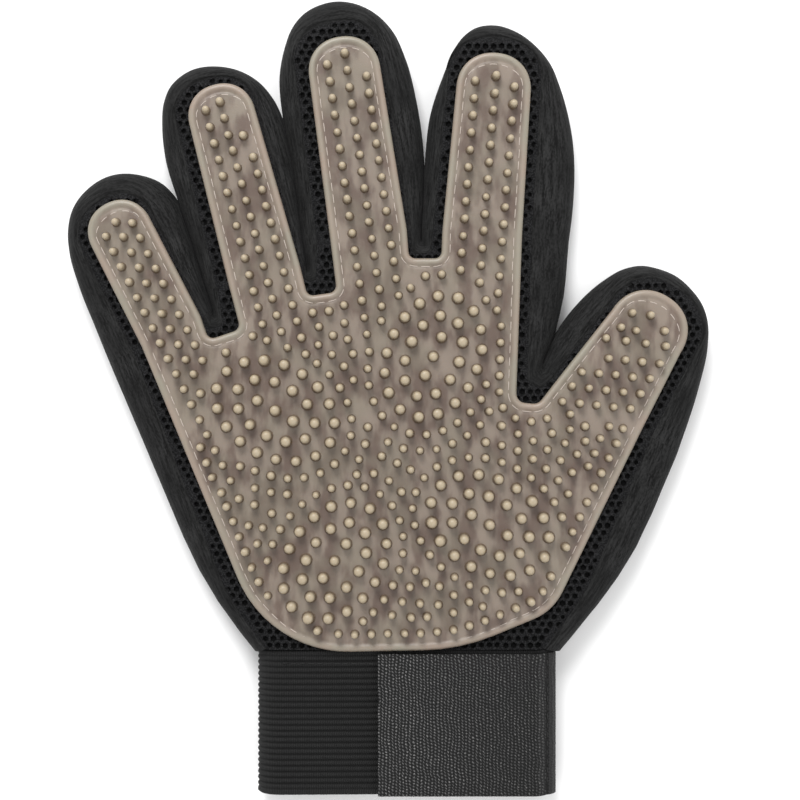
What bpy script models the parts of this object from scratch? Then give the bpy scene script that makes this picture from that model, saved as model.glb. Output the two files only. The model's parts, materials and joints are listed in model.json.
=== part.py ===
"""Grooming glove for pets: a right-hand fabric glove with a nubbed silicone palm and a strapped wrist.

The glove lies on its back with the palm side up. +Y runs towards the fingertips, +X towards the thumb
and +Z up out of the palm. The origin is under the middle of the glove, on the surface that it lies on.
Plan outlines run clockwise when seen from above, so the outside of the glove is on their left.
"""
import math

import bmesh
import bpy
import numpy as np
from mathutils import Matrix, Vector

MM = 0.001
GAP = 0.3 * MM
CENTRING = (0.76 * MM, -0.26 * MM)   # moves the middle of the whole outline onto the origin
HINGE_HALF = 0.3 * MM         # half the space between a finger and the palm at the finger's hinge line

# Layers of the hand, from the table up.
BACK_TOP = 1.2 * MM
WALL_LOW = BACK_TOP + GAP
WALL_HIGH = 12.7 * MM
MESH_LOW = WALL_HIGH + GAP
MESH_TOP = 15.0 * MM
PAD_LOW = MESH_TOP + GAP
PAD_TOP = 16.5 * MM
NUB_TOP = 20.7 * MM
WALL_THICKNESS = 1.2 * MM
WALL_TUCK = 0.35              # how far a wall's foot turns back in, as a share of its bulge
WALL_COLUMNS = 9
TIP_GAP = 0.4 * MM            # half the space between the two walls that meet at a fingertip

# Nubs and the thread that sews the pad on.
NUB_SIDES = 5
NUB_SINK = 0.3 * MM
SMALL_NUB = (1.2 * MM, 1.0 * MM)
LARGE_NUB = (1.65 * MM, 1.4 * MM)
NUB_EDGE = 4.8 * MM            # the pad's outer edge to the nearest nub
BORDER_EDGE = NUB_EDGE + 0.6 * MM
NUBS_IN_COLUMN = 17
GRID_STEP = 0.9 * MM
GRID_X = (-74.0 * MM, 80.0 * MM)
GRID_Y = (-74.0 * MM, 50.0 * MM)
THREAD_EDGE = 2.8 * MM
THREAD_RADIUS = 0.2 * MM
THREAD_TRIM = 0.6 * MM        # how much shorter a thread is at each end than the run it follows
ARC_STEP = 20.0
BAND_ARC_STEP = 15.0

# Wrist.
WRIST_Y = -75.3 * MM
BAND_LEFT = -39.6 * MM
BAND_RIGHT = 49.8 * MM
BAND_FAR = -119.2 * MM
BAND_HEIGHT = 14.4 * MM
BAND_WALL = 1.6 * MM
STRAP_NEAR = WRIST_Y - 1.3 * MM
STRAP_FAR = BAND_FAR + 0.2 * MM
STRAP_LEFT = -3.6 * MM
STRAP_HINGE_X = 44.0 * MM
STRAP_RIGHT = 49.6 * MM
PATCH_LOW = BAND_HEIGHT + GAP
PATCH_THICKNESS = 0.8 * MM
HOOK_LOW = PATCH_LOW + PATCH_THICKNESS + GAP
HOOK_THICKNESS = 0.8 * MM
STRAP_LOW = HOOK_LOW + HOOK_THICKNESS + GAP
STRAP_THICKNESS = 1.2 * MM
STRAP_TOP = STRAP_LOW + STRAP_THICKNESS

MESH_BLACK = (0.012, 0.012, 0.013)
GUSSET_GREY = (0.024, 0.024, 0.026)
BAND_BLACK = (0.018, 0.018, 0.018)
STRAP_GREY = (0.045, 0.045, 0.045)
PAD_BEIGE = (0.30, 0.235, 0.185)
THREAD_WHITE = (0.62, 0.58, 0.52)


class Finger:
    """One finger: s runs along it from its hinge line, and t across it, towards the thumb side."""

    def __init__(self, name, root, lean, length, pad, seam_margin, wall_root, wall_tip, wall_reach, nubs):
        angle = math.radians(lean)
        self.name = name
        self.root = np.array(root) * MM
        self.along = np.array([math.sin(angle), math.cos(angle)])
        self.across = np.array([self.along[1], -self.along[0]])
        self.length = length * MM
        self.pad_root = pad[0] * MM
        self.pad_tip = pad[1] * MM
        self.seam_margin = [margin * MM for margin in seam_margin]
        self.wall_root = [width * MM for width in wall_root]
        self.wall_tip = [width * MM for width in wall_tip]
        self.wall_reach = wall_reach * MM
        self.nub_pitch = nubs[0] * MM
        self.nub_columns = [(across * MM, start * MM) for across, start in nubs[1]]

    def at(self, s, t):
        """Plan position of a place s along and t across the finger."""
        return self.root + self.along * s + self.across * t

    def pad_corners(self):
        """Corners of the pad from its left root round the tip to its right root."""
        radius = self.pad_tip * 0.98
        return [(*self.at(HINGE_HALF, -self.pad_root), 0.0), (*self.at(self.length, -self.pad_tip), radius),
                (*self.at(self.length, self.pad_tip), radius), (*self.at(HINGE_HALF, self.pad_root), 0.0)]

    def edge(self, side, root_width, tip_width, reach):
        """Half of a fabric outline, from the hinge line to the middle of the fingertip."""
        crown = 0.5 * (self.wall_tip[0] + self.wall_tip[1]) * 0.92
        shoulder = reach - crown
        points = [self.at(HINGE_HALF, side * root_width)]
        for angle in np.radians(np.arange(0.0, 91.0, 15.0)):
            t = max(tip_width * math.cos(angle) ** 0.9, TIP_GAP)
            points.append(self.at(shoulder + crown * math.sin(angle), side * t))
        return np.array(points)

    def seam_width(self, side, pad_width):
        return pad_width + self.seam_margin[0 if side < 0 else 1]

    def seam_edge(self, side):
        """Where the top panel and the side wall are sewn together."""
        reach = self.length + self.seam_margin[2]
        return self.edge(side, self.seam_width(side, self.pad_root), self.seam_width(side, self.pad_tip), reach)

    def wall_edge(self, side):
        """The widest line of the side wall."""
        index = 0 if side < 0 else 1
        return self.edge(side, self.wall_root[index], self.wall_tip[index], self.wall_reach)


# name, hinge point (mm), lean (degrees), pad length, pad half widths at root and tip, seam margins
# (left, right, tip), wall half widths at root and at tip (left, right), wall reach, and the nubs:
# their pitch and each column's place across the finger and distance of its first nub from the pad's tip.
FINGERS = [
    Finger("little", (-65.8, 20.5), -27.0, 43.0, (9.9, 9.7), (3.8, 0.7, 2.2), (20.3, 13.2), (16.0, 16.2),
           49.9, (5.13, ((0.3, 6.1), (-4.2, 8.6), (4.6, 8.6)))),
    Finger("ring", (-37.8, 37.5), -14.9, 59.0, (11.1, 10.1), (4.4, 0.8, 2.8), (17.2, 12.0), (17.8, 14.4),
           64.6, (5.08, ((0.6, 5.6), (-4.2, 8.1), (5.4, 8.1)))),
    Finger("middle", (-6.4, 49.1), -8.3, 60.5, (11.6, 10.8), (4.5, 1.0, 5.6), (19.4, 15.2), (19.2, 18.2),
           71.3, (5.10, ((0.8, 5.5), (-4.8, 8.1), (6.3, 8.1)))),
    Finger("index", (27.7, 49.8), 4.5, 54.5, (12.0, 11.2), (2.9, 3.2, 6.0), (17.6, 25.6), (17.6, 20.5),
           62.7, (5.17, ((0.3, 6.7), (-5.8, 9.1), (6.5, 9.1)))),
    Finger("thumb", (63.2, -1.3), 32.5, 38.0, (14.7, 12.1), (1.5, 4.3, 4.4), (20.9, 27.0), (17.5, 18.5),
           44.2, (5.5, ((-0.8, 7.3), (-5.2, 10.0), (4.1, 10.0), (-9.6, 12.8), (8.6, 12.8)))),
]

# Corners (x, y, corner radius in mm) between one finger and the next: of the pad, of the fabric seam
# and of the fold where the walls of the two fingers meet.
CROTCHES = {
    "little_ring": {
        "pad": [(-54.6, 17.9, 2.2), (-45.0, 21.1, 2.2)],
        "seam": [(-54.4, 21.5, 1.0), (-50.6, 22.4, 1.0)],
        "wall": [(-53.4, 25.2, 0.4), (-52.2, 25.4, 0.4)],
    },
    "ring_middle": {
        "pad": [(-24.8, 31.0, 2.2), (-16.0, 32.3, 2.2)],
        "seam": [(-25.6, 36.0, 1.0), (-22.6, 35.8, 1.0)],
        "wall": [(-25.9, 38.9, 0.4), (-24.9, 38.9, 0.4)],
    },
    "middle_index": {
        "pad": [(5.7, 42.4, 2.0), (15.4, 42.4, 2.0)],
        "seam": [(7.0, 44.2, 1.0), (12.2, 44.2, 1.0)],
        "wall": [(8.9, 47.4, 0.4), (10.0, 47.4, 0.4)],
    },
    "index_thumb": {
        "pad": [(37.9, -0.8, 2.8), (44.6, -1.4, 3.0)],
        "seam": [(41.6, 5.4, 1.5), (45.6, 3.6, 1.5)],
        "wall": [(52.0, 31.0, 60.0), (48.6, 17.6, 30.0), (44.2, 9.3, 0.4), (44.4, 7.7, 0.4)],
    },
}
PAD_HEEL = [(49.0, -63.6, 17.0), (21.0, -75.2, 60.0), (-36.5, -76.2, 36.0)]
LITTLE_SIDE = {
    "seam": [(-37.5, -75.3, 0.0), (-49.0, -60.0, 60.0)],
    "wall": [(-38.2, -75.3, 0.0), (-55.2, -55.1, 130.0)],
}
THUMB_SIDE = {
    "seam": [(58.5, -60.0, 80.0), (46.5, -75.3, 0.0)],
    "wall": [(71.8, -47.4, 130.0), (49.4, -75.3, 0.0)],
}

# Oval groups of large nubs: centre (mm) and the direction of the long axis from +X (degrees).
GROUPS = [((-34.4, -3.4), -30.0), ((13.0, 12.9), 67.0), ((-16.6, -48.4), 56.0), ((29.8, -37.6), -30.0)]
GROUP_RINGS = [((19.0, 13.6), 17, 0.0), ((12.9, 7.8), 11, 0.5)]
GROUP_CORE_PITCH = 6.2 * MM
RING_GROWTH = (5.2, 10.0, 14.8, 19.6)
SMALL_PITCH = 4.9 * MM


def clear_scene():
    """Remove every object and the old part collections."""
    for item in list(bpy.data.objects):
        bpy.data.objects.remove(item, do_unlink=True)
    for collection in list(bpy.data.collections):
        bpy.data.collections.remove(collection)


def new_collection(name):
    collection = bpy.data.collections.new(name)
    bpy.context.scene.collection.children.link(collection)
    return collection


def to_metres(corners):
    return [(x * MM, y * MM, radius * MM) for x, y, radius in corners]


# ---------------------------------------------------------------- outlines

def rounded(corners):
    """Turn an open run of corners (x, y, radius) into points, with each corner as an arc."""
    points = [np.array(corners[0][:2])]
    for before, corner, after in zip(corners, corners[1:], corners[2:]):
        middle = np.array(corner[:2])
        back = np.array(before[:2]) - middle
        ahead = np.array(after[:2]) - middle
        back /= np.linalg.norm(back)
        ahead /= np.linalg.norm(ahead)
        half = 0.5 * math.acos(np.clip(back @ ahead, -1.0, 1.0))
        centre = middle + (back + ahead) / np.linalg.norm(back + ahead) * corner[2] / math.sin(half)
        start = middle + back * corner[2] / math.tan(half) - centre
        end = middle + ahead * corner[2] / math.tan(half) - centre
        turn = math.pi - 2 * half
        steps = max(1, math.ceil(math.degrees(turn) / ARC_STEP))
        for step in range(steps + 1):
            share = step / steps
            blend = math.sin((1 - share) * turn) * start + math.sin(share * turn) * end
            points.append(centre + blend / math.sin(turn))
    points.append(np.array(corners[-1][:2]))
    return np.array(points)


def inset(corners, distance):
    """Move an open run of corners sideways into the glove, and keep its arcs concentric."""
    places = [np.array(corner[:2]) for corner in corners]
    lines = []
    for start, end in zip(places, places[1:]):
        direction = (end - start) / np.linalg.norm(end - start)
        lines.append((start + np.array([direction[1], -direction[0]]) * distance, direction))
    moved = [(*lines[0][0], 0.0)]
    for (point, direction), (other, heading), corner in zip(lines, lines[1:], corners[1:]):
        cross = direction[0] * heading[1] - direction[1] * heading[0]
        run = ((other - point)[0] * heading[1] - (other - point)[1] * heading[0]) / cross
        radius = corner[2] - distance if cross < 0 else corner[2] + distance
        moved.append((*(point + direction * run), max(radius, 0.4 * MM)))
    last = places[-1] + lines[-1][0] - places[-2]
    moved.append((*last, 0.0))
    return moved


def resample(points, count):
    """Spread count points evenly along a run."""
    steps = np.hypot(*np.diff(points, axis=0).T)
    run = np.concatenate([[0.0], np.cumsum(steps)])
    at = np.linspace(0.0, run[-1], count)
    return np.column_stack([np.interp(at, run, points[:, 0]), np.interp(at, run, points[:, 1])])


def between(left, right, kind):
    """Corners of the pad or seam run that joins a finger's right root to the next one's left root."""
    width = {"pad": lambda finger, side: finger.pad_root,
             "seam": lambda finger, side: finger.seam_width(side, finger.pad_root),
             "wall": lambda finger, side: finger.wall_root[0 if side < 0 else 1]}[kind]
    start = left.at(-HINGE_HALF, width(left, 1))
    end = right.at(-HINGE_HALF, -width(right, -1))
    middle = CROTCHES[left.name + "_" + right.name][kind]
    return [(*start, 0.0)] + to_metres(middle) + [(*end, 0.0)]


def pad_heel():
    """Corners of the pad from the thumb's right root round the heel to the little finger's left root."""
    thumb, little = FINGERS[-1], FINGERS[0]
    start = thumb.at(-HINGE_HALF, thumb.pad_root)
    end = little.at(-HINGE_HALF, -little.pad_root)
    return [(*start, 0.0)] + to_metres(PAD_HEEL) + [(*end, 0.0)]


def finger_pairs():
    return list(zip(FINGERS, FINGERS[1:]))


# ---------------------------------------------------------------- solids

def hang(name, place, items):
    """Put pieces under an empty that lies on the axis they turn about, without moving them."""
    hinge = bpy.data.objects.new(name, None)
    hinge.location = place
    PARTS.objects.link(hinge)
    for item in items:
        item.parent = hinge
        item.matrix_parent_inverse = Matrix.Translation(-Vector(place))


def paint(item, colour, roughness):
    """Give an object its own material."""
    material = bpy.data.materials.new(item.name + "_material")
    material.use_nodes = True
    shader = material.node_tree.nodes["Principled BSDF"]
    shader.inputs["Base Color"].default_value = (*colour, 1.0)
    shader.inputs["Roughness"].default_value = roughness
    shader.inputs["Metallic"].default_value = 0.0
    item.data.materials.append(material)
    return item


def flat_piece(name, outlines, low, high):
    """A flat piece cut to one or more closed outlines, as a filled curve with a thickness."""
    curve = bpy.data.curves.new(name, "CURVE")
    curve.dimensions = "2D"
    curve.fill_mode = "BOTH"
    curve.extrude = (high - low) / 2
    for outline in outlines:
        spline = curve.splines.new("POLY")
        spline.points.add(len(outline) - 1)
        for point, (x, y) in zip(spline.points, outline):
            point.co = (x, y, 0.0, 1.0)
        spline.use_cyclic_u = True
    item = bpy.data.objects.new(name, curve)
    item.location.z = (low + high) / 2
    PARTS.objects.link(item)
    return item


def as_mesh(item):
    """Replace a curve object by a welded mesh object of the same name."""
    bpy.context.view_layer.update()
    name = item.name
    evaluated = item.evaluated_get(bpy.context.evaluated_depsgraph_get())
    mesh = bpy.data.meshes.new_from_object(evaluated)
    matrix = item.matrix_world.copy()
    bpy.data.objects.remove(item, do_unlink=True)
    shape = bmesh.new()
    shape.from_mesh(mesh)
    bmesh.ops.remove_doubles(shape, verts=shape.verts, dist=0.01 * MM)
    shape.to_mesh(mesh)
    shape.free()
    solid = bpy.data.objects.new(name, mesh)
    solid.matrix_world = matrix
    PARTS.objects.link(solid)
    return solid


def thread(name, points, height):
    """A sewing thread that runs just above a surface, a little shorter than its run."""
    points = [np.array(point) for point in points]
    for end, following in ((0, 1), (-1, -2)):
        inwards = points[following] - points[end]
        points[end] = points[end] + inwards / np.linalg.norm(inwards) * THREAD_TRIM
    curve = bpy.data.curves.new(name, "CURVE")
    curve.dimensions = "3D"
    curve.bevel_depth = THREAD_RADIUS
    curve.bevel_resolution = 2
    curve.use_fill_caps = True
    spline = curve.splines.new("POLY")
    spline.points.add(len(points) - 1)
    for point, (x, y) in zip(spline.points, points):
        point.co = (x, y, height + GAP + THREAD_RADIUS, 1.0)
    item = bpy.data.objects.new(name, curve)
    PARTS.objects.link(item)
    return paint(item, THREAD_WHITE, 0.8)


def wall(name, seam, bulge, columns):
    """A side wall that bulges out between the top panel and the back panel."""
    seam = resample(seam, columns)
    bulge = resample(bulge, columns)
    foot = bulge + (seam - bulge) * WALL_TUCK
    span = WALL_HIGH - WALL_LOW
    rows = [(1.0, seam), (0.88, seam + (bulge - seam) * 0.6), (0.55, bulge),
            (0.2, bulge + (foot - bulge) * 0.3), (0.0, foot)]
    shape = bmesh.new()
    grid = []
    for height, line in rows:
        z = WALL_LOW + span * height
        grid.append([shape.verts.new((x, y, z)) for x, y in line])
    for upper, lower in zip(grid, grid[1:]):
        for column in range(columns - 1):
            shape.faces.new((upper[column], upper[column + 1], lower[column + 1], lower[column]))
    mesh = bpy.data.meshes.new(name)
    shape.to_mesh(mesh)
    shape.free()
    item = bpy.data.objects.new(name, mesh)
    PARTS.objects.link(item)
    solid = item.modifiers.new("thickness", "SOLIDIFY")
    solid.thickness = WALL_THICKNESS
    solid.offset = -1.0
    paint(item, GUSSET_GREY, 0.75)
    return item, foot


# ---------------------------------------------------------------- nubs

def oval(centre, turn, radii, count, phase):
    """Points spaced evenly round an oval; phase shifts them by a share of their pitch."""
    angles = np.linspace(0.0, 2 * math.pi, 361)
    ring = np.column_stack([radii[0] * np.cos(angles), radii[1] * np.sin(angles)]) * MM
    run = np.concatenate([[0.0], np.cumsum(np.hypot(*np.diff(ring, axis=0).T))])
    at = (np.arange(count) + phase) * run[-1] / count
    x = np.interp(at, run, ring[:, 0])
    y = np.interp(at, run, ring[:, 1])
    cosine, sine = math.cos(math.radians(turn)), math.sin(math.radians(turn))
    return np.column_stack([centre[0] * MM + cosine * x - sine * y, centre[1] * MM + sine * x + cosine * y])


def contains(outline, point):
    """True if a closed outline goes round a point."""
    start = np.asarray(outline)
    end = np.roll(start, -1, axis=0)
    crossing = (start[:, 1] > point[1]) != (end[:, 1] > point[1])
    rise = np.where(crossing, end[:, 1] - start[:, 1], 1.0)
    meets = start[:, 0] + (point[1] - start[:, 1]) * (end[:, 0] - start[:, 0]) / rise
    return np.count_nonzero(crossing & (point[0] < meets)) % 2 == 1


def nub_field(distance):
    """The outline of the whole pad, fingers and palm together, moved in by a distance."""
    corners = []
    for finger, following in zip(FINGERS, FINGERS[1:] + [None]):
        corners += finger.pad_corners()
        corners += to_metres(CROTCHES[finger.name + "_" + following.name]["pad"] if following else PAD_HEEL)
    loop = inset([corners[-1]] + corners + corners[:1], distance)[1:-1]
    closed = [loop[-1]] + loop + loop[:1]
    return rounded(closed)[1:-1]


def lay_nubs():
    """Places of all nubs, as (x, y, large)."""
    nubs = []
    for centre, turn in GROUPS:
        for radii, count, phase in GROUP_RINGS:
            nubs += [(x, y, True) for x, y in oval(centre, turn, radii, count, phase)]
        for step in (-1, 0, 1):
            reach = step * GROUP_CORE_PITCH
            nubs.append((centre[0] * MM + reach * math.cos(math.radians(turn)),
                         centre[1] * MM + reach * math.sin(math.radians(turn)), True))
    field = nub_field(NUB_EDGE)

    def try_nub(point, from_small, from_large):
        taken = np.array(nubs)
        room = np.where(taken[:, 2] > 0, from_large, from_small) * MM
        if contains(field, point) and np.all(np.hypot(*(taken[:, :2] - point).T) > room):
            nubs.append((point[0], point[1], False))

    for finger in FINGERS:
        for across, first in finger.nub_columns:
            for step in range(NUBS_IN_COLUMN):
                s = finger.length - first - step * finger.nub_pitch
                try_nub(finger.at(s, across), 4.2, 5.2)
    border = nub_field(BORDER_EDGE)
    length = np.sum(np.hypot(*np.diff(border, axis=0).T))
    for point in resample(border, int(length / SMALL_PITCH)):
        try_nub(point, 4.4, 5.0)
    for growth in RING_GROWTH:
        for centre, turn in GROUPS:
            radii = (GROUP_RINGS[0][0][0] + growth, GROUP_RINGS[0][0][1] + growth)
            count = int(math.pi * (radii[0] + radii[1]) * MM / SMALL_PITCH)
            for point in oval(centre, turn, radii, count, 0.0):
                try_nub(point, 4.3, 4.9)
    kept_clear = [oval(centre, turn, GROUP_RINGS[0][0], 40, 0.0) for centre, turn in GROUPS]
    for y in np.arange(*GRID_Y, GRID_STEP):
        for x in np.arange(*GRID_X, GRID_STEP):
            point = np.array([x, y])
            if not any(contains(ring, point) for ring in kept_clear):
                try_nub(point, 4.2, 4.7)
    return nubs


def nub_block(name, nubs):
    """One mesh of tapered nubs, to be joined to a pad."""
    shape = bmesh.new()
    low = PAD_TOP - NUB_SINK
    for x, y, large in nubs:
        base, top = LARGE_NUB if large else SMALL_NUB
        place = Matrix.Translation(Vector((x, y, (low + NUB_TOP) / 2)))
        bmesh.ops.create_cone(shape, cap_ends=True, segments=NUB_SIDES, radius1=base, radius2=top,
                              depth=NUB_TOP - low, matrix=place)
    mesh = bpy.data.meshes.new(name)
    shape.to_mesh(mesh)
    shape.free()
    item = bpy.data.objects.new(name, mesh)
    item.hide_render = True
    item.display_type = "WIRE"
    CUTTERS.objects.link(item)
    return item


def silicone(name, outline, nubs):
    """A flat silicone pad with its nubs joined on."""
    pad = as_mesh(flat_piece(name, [outline], PAD_LOW, PAD_TOP))
    union = pad.modifiers.new("nubs", "BOOLEAN")
    union.operation = "UNION"
    union.solver = "EXACT"
    union.object = nub_block(name + "_nubs", nubs)
    return paint(pad, PAD_BEIGE, 0.45)


# ---------------------------------------------------------------- the glove

def make_finger(finger, nubs):
    """The six pieces of a finger beyond its hinge line."""
    name = finger.name
    left, left_foot = wall(name + "_left_gusset", finger.seam_edge(-1), finger.wall_edge(-1), WALL_COLUMNS)
    right, right_foot = wall(name + "_right_gusset", finger.seam_edge(1)[::-1], finger.wall_edge(1)[::-1],
                             WALL_COLUMNS)
    seam = np.concatenate([finger.seam_edge(-1), finger.seam_edge(1)[::-1]])
    mesh = paint(flat_piece(name + "_mesh", [seam], MESH_LOW, MESH_TOP), MESH_BLACK, 0.85)
    foot = np.concatenate([left_foot, right_foot])
    back = paint(flat_piece(name + "_back", [foot], 0.0, BACK_TOP), MESH_BLACK, 0.85)
    pad = silicone(name + "_pad", rounded(finger.pad_corners()), nubs)
    sewing = thread(name + "_pad_thread", rounded(inset(finger.pad_corners(), THREAD_EDGE)), PAD_TOP)
    hang(name + "_hinge", (*finger.root, NUB_TOP), [left, right, mesh, back, pad, sewing])


def make_palm(nubs):
    """The panels, walls, pad and threads between the wrist and the finger hinges."""
    little, thumb = FINGERS[0], FINGERS[-1]
    seam_end = (*little.at(-HINGE_HALF, -little.seam_width(-1, little.pad_root)), 0.0)
    wall_end = (*little.at(-HINGE_HALF, -little.wall_root[0]), 0.0)
    seams = [rounded(to_metres(LITTLE_SIDE["seam"]) + [seam_end])]
    little_wall = rounded(to_metres(LITTLE_SIDE["wall"]) + [wall_end])
    feet = [wall("palm_little_gusset", seams[0], little_wall, WALL_COLUMNS)[1]]
    pad = []
    for left, right in finger_pairs():
        seams.append(rounded(between(left, right, "seam")))
        web = rounded(between(left, right, "wall"))
        feet.append(wall("web_" + left.name + "_" + right.name, seams[-1], web, WALL_COLUMNS)[1])
        pad.append(rounded(between(left, right, "pad")))
        run = rounded(inset(between(left, right, "pad"), THREAD_EDGE))
        thread("pad_thread_" + left.name + "_" + right.name, run, PAD_TOP)
    seam_start = (*thumb.at(-HINGE_HALF, thumb.seam_width(1, thumb.pad_root)), 0.0)
    wall_start = (*thumb.at(-HINGE_HALF, thumb.wall_root[1]), 0.0)
    seams.append(rounded([seam_start] + to_metres(THUMB_SIDE["seam"])))
    thumb_wall = rounded([wall_start] + to_metres(THUMB_SIDE["wall"]))
    feet.append(wall("palm_thumb_gusset", seams[-1], thumb_wall, WALL_COLUMNS)[1])
    pad.append(rounded(pad_heel()))
    paint(flat_piece("palm_mesh", [np.concatenate(seams)], MESH_LOW, MESH_TOP), MESH_BLACK, 0.85)
    paint(flat_piece("palm_back", [np.concatenate(feet)], 0.0, BACK_TOP), MESH_BLACK, 0.85)
    silicone("palm_pad", np.concatenate(pad), nubs)
    thread("pad_thread_heel", rounded(inset(pad_heel(), THREAD_EDGE)), PAD_TOP)


def stadium(low, high, left, right):
    """A closed outline with half-round ends, x across and y up."""
    radius = (high - low) / 2
    middle = (high + low) / 2
    turn = np.radians(np.arange(-90.0, 91.0, BAND_ARC_STEP))
    end = np.column_stack([right - radius + radius * np.cos(turn), middle + radius * np.sin(turn)])
    start = np.column_stack([left + radius - radius * np.cos(turn), middle - radius * np.sin(turn)])
    return np.concatenate([end, start])


def box(name, low, high, colour):
    """A rectangular piece between two corners."""
    bpy.ops.mesh.primitive_cube_add(size=1.0)
    item = bpy.context.active_object
    item.name = item.data.name = name
    for collection in list(item.users_collection):
        collection.objects.unlink(item)
    PARTS.objects.link(item)
    middle = (Vector(low) + Vector(high)) / 2
    size = Vector(high) - Vector(low)
    item.data.transform(Matrix.Translation(middle) @ Matrix.Diagonal((*size, 1.0)))
    return paint(item, colour, 0.8)


def make_wrist():
    """The elastic band, and the strap that closes over it."""
    inner = stadium(BAND_WALL, BAND_HEIGHT - BAND_WALL, BAND_LEFT + BAND_WALL, BAND_RIGHT - BAND_WALL)
    outer = stadium(0.0, BAND_HEIGHT, BAND_LEFT, BAND_RIGHT)
    near = WRIST_Y - GAP
    band = flat_piece("wrist_band", [outer, inner], 0.0, near - BAND_FAR)
    band.rotation_euler.x = math.radians(90.0)
    band.location = (0.0, (near + BAND_FAR) / 2, 0.0)
    paint(band, BAND_BLACK, 0.8)
    seam = [(BAND_LEFT + 8 * MM, near - 4 * MM), (STRAP_LEFT - 1 * MM, near - 4 * MM)]
    thread("band_seam_thread", seam, BAND_HEIGHT)

    box("loop_patch", (STRAP_LEFT + 3 * MM, STRAP_FAR + 2 * MM, PATCH_LOW),
        (36 * MM, STRAP_NEAR - 2 * MM, PATCH_LOW + PATCH_THICKNESS), BAND_BLACK)
    box("strap_anchor", (STRAP_HINGE_X + GAP / 2, STRAP_FAR, PATCH_LOW),
        (STRAP_RIGHT, STRAP_NEAR, STRAP_TOP), STRAP_GREY)
    thread("strap_anchor_thread", [(46.6 * MM, STRAP_NEAR - 1 * MM), (46.6 * MM, STRAP_FAR + 1 * MM)], STRAP_TOP)
    flap = box("strap", (STRAP_LEFT, STRAP_FAR, STRAP_LOW),
               (STRAP_HINGE_X - GAP / 2, STRAP_NEAR, STRAP_TOP), STRAP_GREY)
    hooks = box("hook_tape", (STRAP_LEFT + 2 * MM, STRAP_FAR + 3 * MM, HOOK_LOW),
                (22 * MM, STRAP_NEAR - 3 * MM, HOOK_LOW + HOOK_THICKNESS), BAND_BLACK)
    hang("strap_hinge", (STRAP_HINGE_X, (STRAP_NEAR + STRAP_FAR) / 2, STRAP_TOP), [flap, hooks])


def share_nubs(nubs):
    """Sort the nubs by the piece they stand on, and leave out those that straddle a hinge line."""
    palm, fingers = [], {finger.name: [] for finger in FINGERS}
    for x, y, large in nubs:
        owner = "palm"
        for finger in FINGERS:
            s, t = (np.array([x, y]) - finger.root) @ np.column_stack([finger.along, finger.across])
            if abs(t) > finger.pad_root or s < -SMALL_NUB[0] - GAP:
                continue
            owner = finger.name if s > SMALL_NUB[0] + GAP else None
        if owner == "palm":
            palm.append((x, y, large))
        elif owner:
            fingers[owner].append((x, y, large))
    return palm, fingers


clear_scene()
PARTS = new_collection("grooming_glove")
CUTTERS = new_collection("cutters")
palm_nubs, finger_nubs = share_nubs(lay_nubs())
for each_finger in FINGERS:
    make_finger(each_finger, finger_nubs[each_finger.name])
make_palm(palm_nubs)
make_wrist()
for piece in PARTS.objects:
    if piece.parent is None:
        piece.location.x += CENTRING[0]
        piece.location.y += CENTRING[1]
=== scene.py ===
"""The looks of the grooming glove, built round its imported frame.

Lengths are millimetres, except in the room and its lights, which are in metres. x runs across the palm
towards the thumb, y towards the fingertips, and z up out of the palm."""
import json
import math

import bpy
import numpy as np
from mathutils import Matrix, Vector
from mathutils.geometry import delaunay_2d_cdt


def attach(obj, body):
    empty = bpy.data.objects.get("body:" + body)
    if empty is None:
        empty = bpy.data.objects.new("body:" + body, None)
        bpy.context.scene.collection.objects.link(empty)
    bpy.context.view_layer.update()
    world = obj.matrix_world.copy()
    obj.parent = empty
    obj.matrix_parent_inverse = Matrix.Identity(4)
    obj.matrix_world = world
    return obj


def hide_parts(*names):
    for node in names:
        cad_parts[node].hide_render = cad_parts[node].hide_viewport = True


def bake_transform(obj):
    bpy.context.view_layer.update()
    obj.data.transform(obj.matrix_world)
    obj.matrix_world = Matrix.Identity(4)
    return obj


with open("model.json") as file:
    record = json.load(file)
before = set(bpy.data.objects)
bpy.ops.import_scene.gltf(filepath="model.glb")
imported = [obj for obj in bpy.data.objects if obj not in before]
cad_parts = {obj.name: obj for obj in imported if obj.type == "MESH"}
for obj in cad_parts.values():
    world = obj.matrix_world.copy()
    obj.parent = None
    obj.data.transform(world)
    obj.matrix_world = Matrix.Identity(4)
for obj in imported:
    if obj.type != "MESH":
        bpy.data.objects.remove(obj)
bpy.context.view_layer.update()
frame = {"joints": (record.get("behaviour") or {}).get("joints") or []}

MM = 0.001

# Where the model's middle lies from the middle that its outlines are drawn about.
CENTRING = np.array([0.76, -0.26])

# Heights above the floor.
PANEL_TOP = 14.95
BULGE_HEIGHT = 7.2
FOOT_HEIGHT = 0.9
BACK_HEIGHT = 0.55
PAD_FACE = 16.45
PAD_FOOT = 14.2
NUB_HEIGHT = 4.25
GLOVE_TOP = 20.72

# The open mesh falls this much to the seam that holds it, over a strip this wide.
SEAM_DROP = 1.2
SEAM_SLOPE = 2.6

# The camera looks straight down from over this place.
VIEW_CENTRE = np.array([3.76, -0.41])
VIEW_HEIGHT = 566.5

# The side fabric: its outline is a little larger than the one listed below, round the view's centre.
SPREAD = 1.008
GUSSET_THICKNESS = 0.7
SEAM_TUCK = 0.7
FOOT_TUCK = 3.6

# The pad's rim, from its edge inwards.
RIM_HEIGHT = 0.3
RIM_INSET = 1.2
EDGE_ROUNDING = 0.55
STITCH_INSET = 2.5

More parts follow.
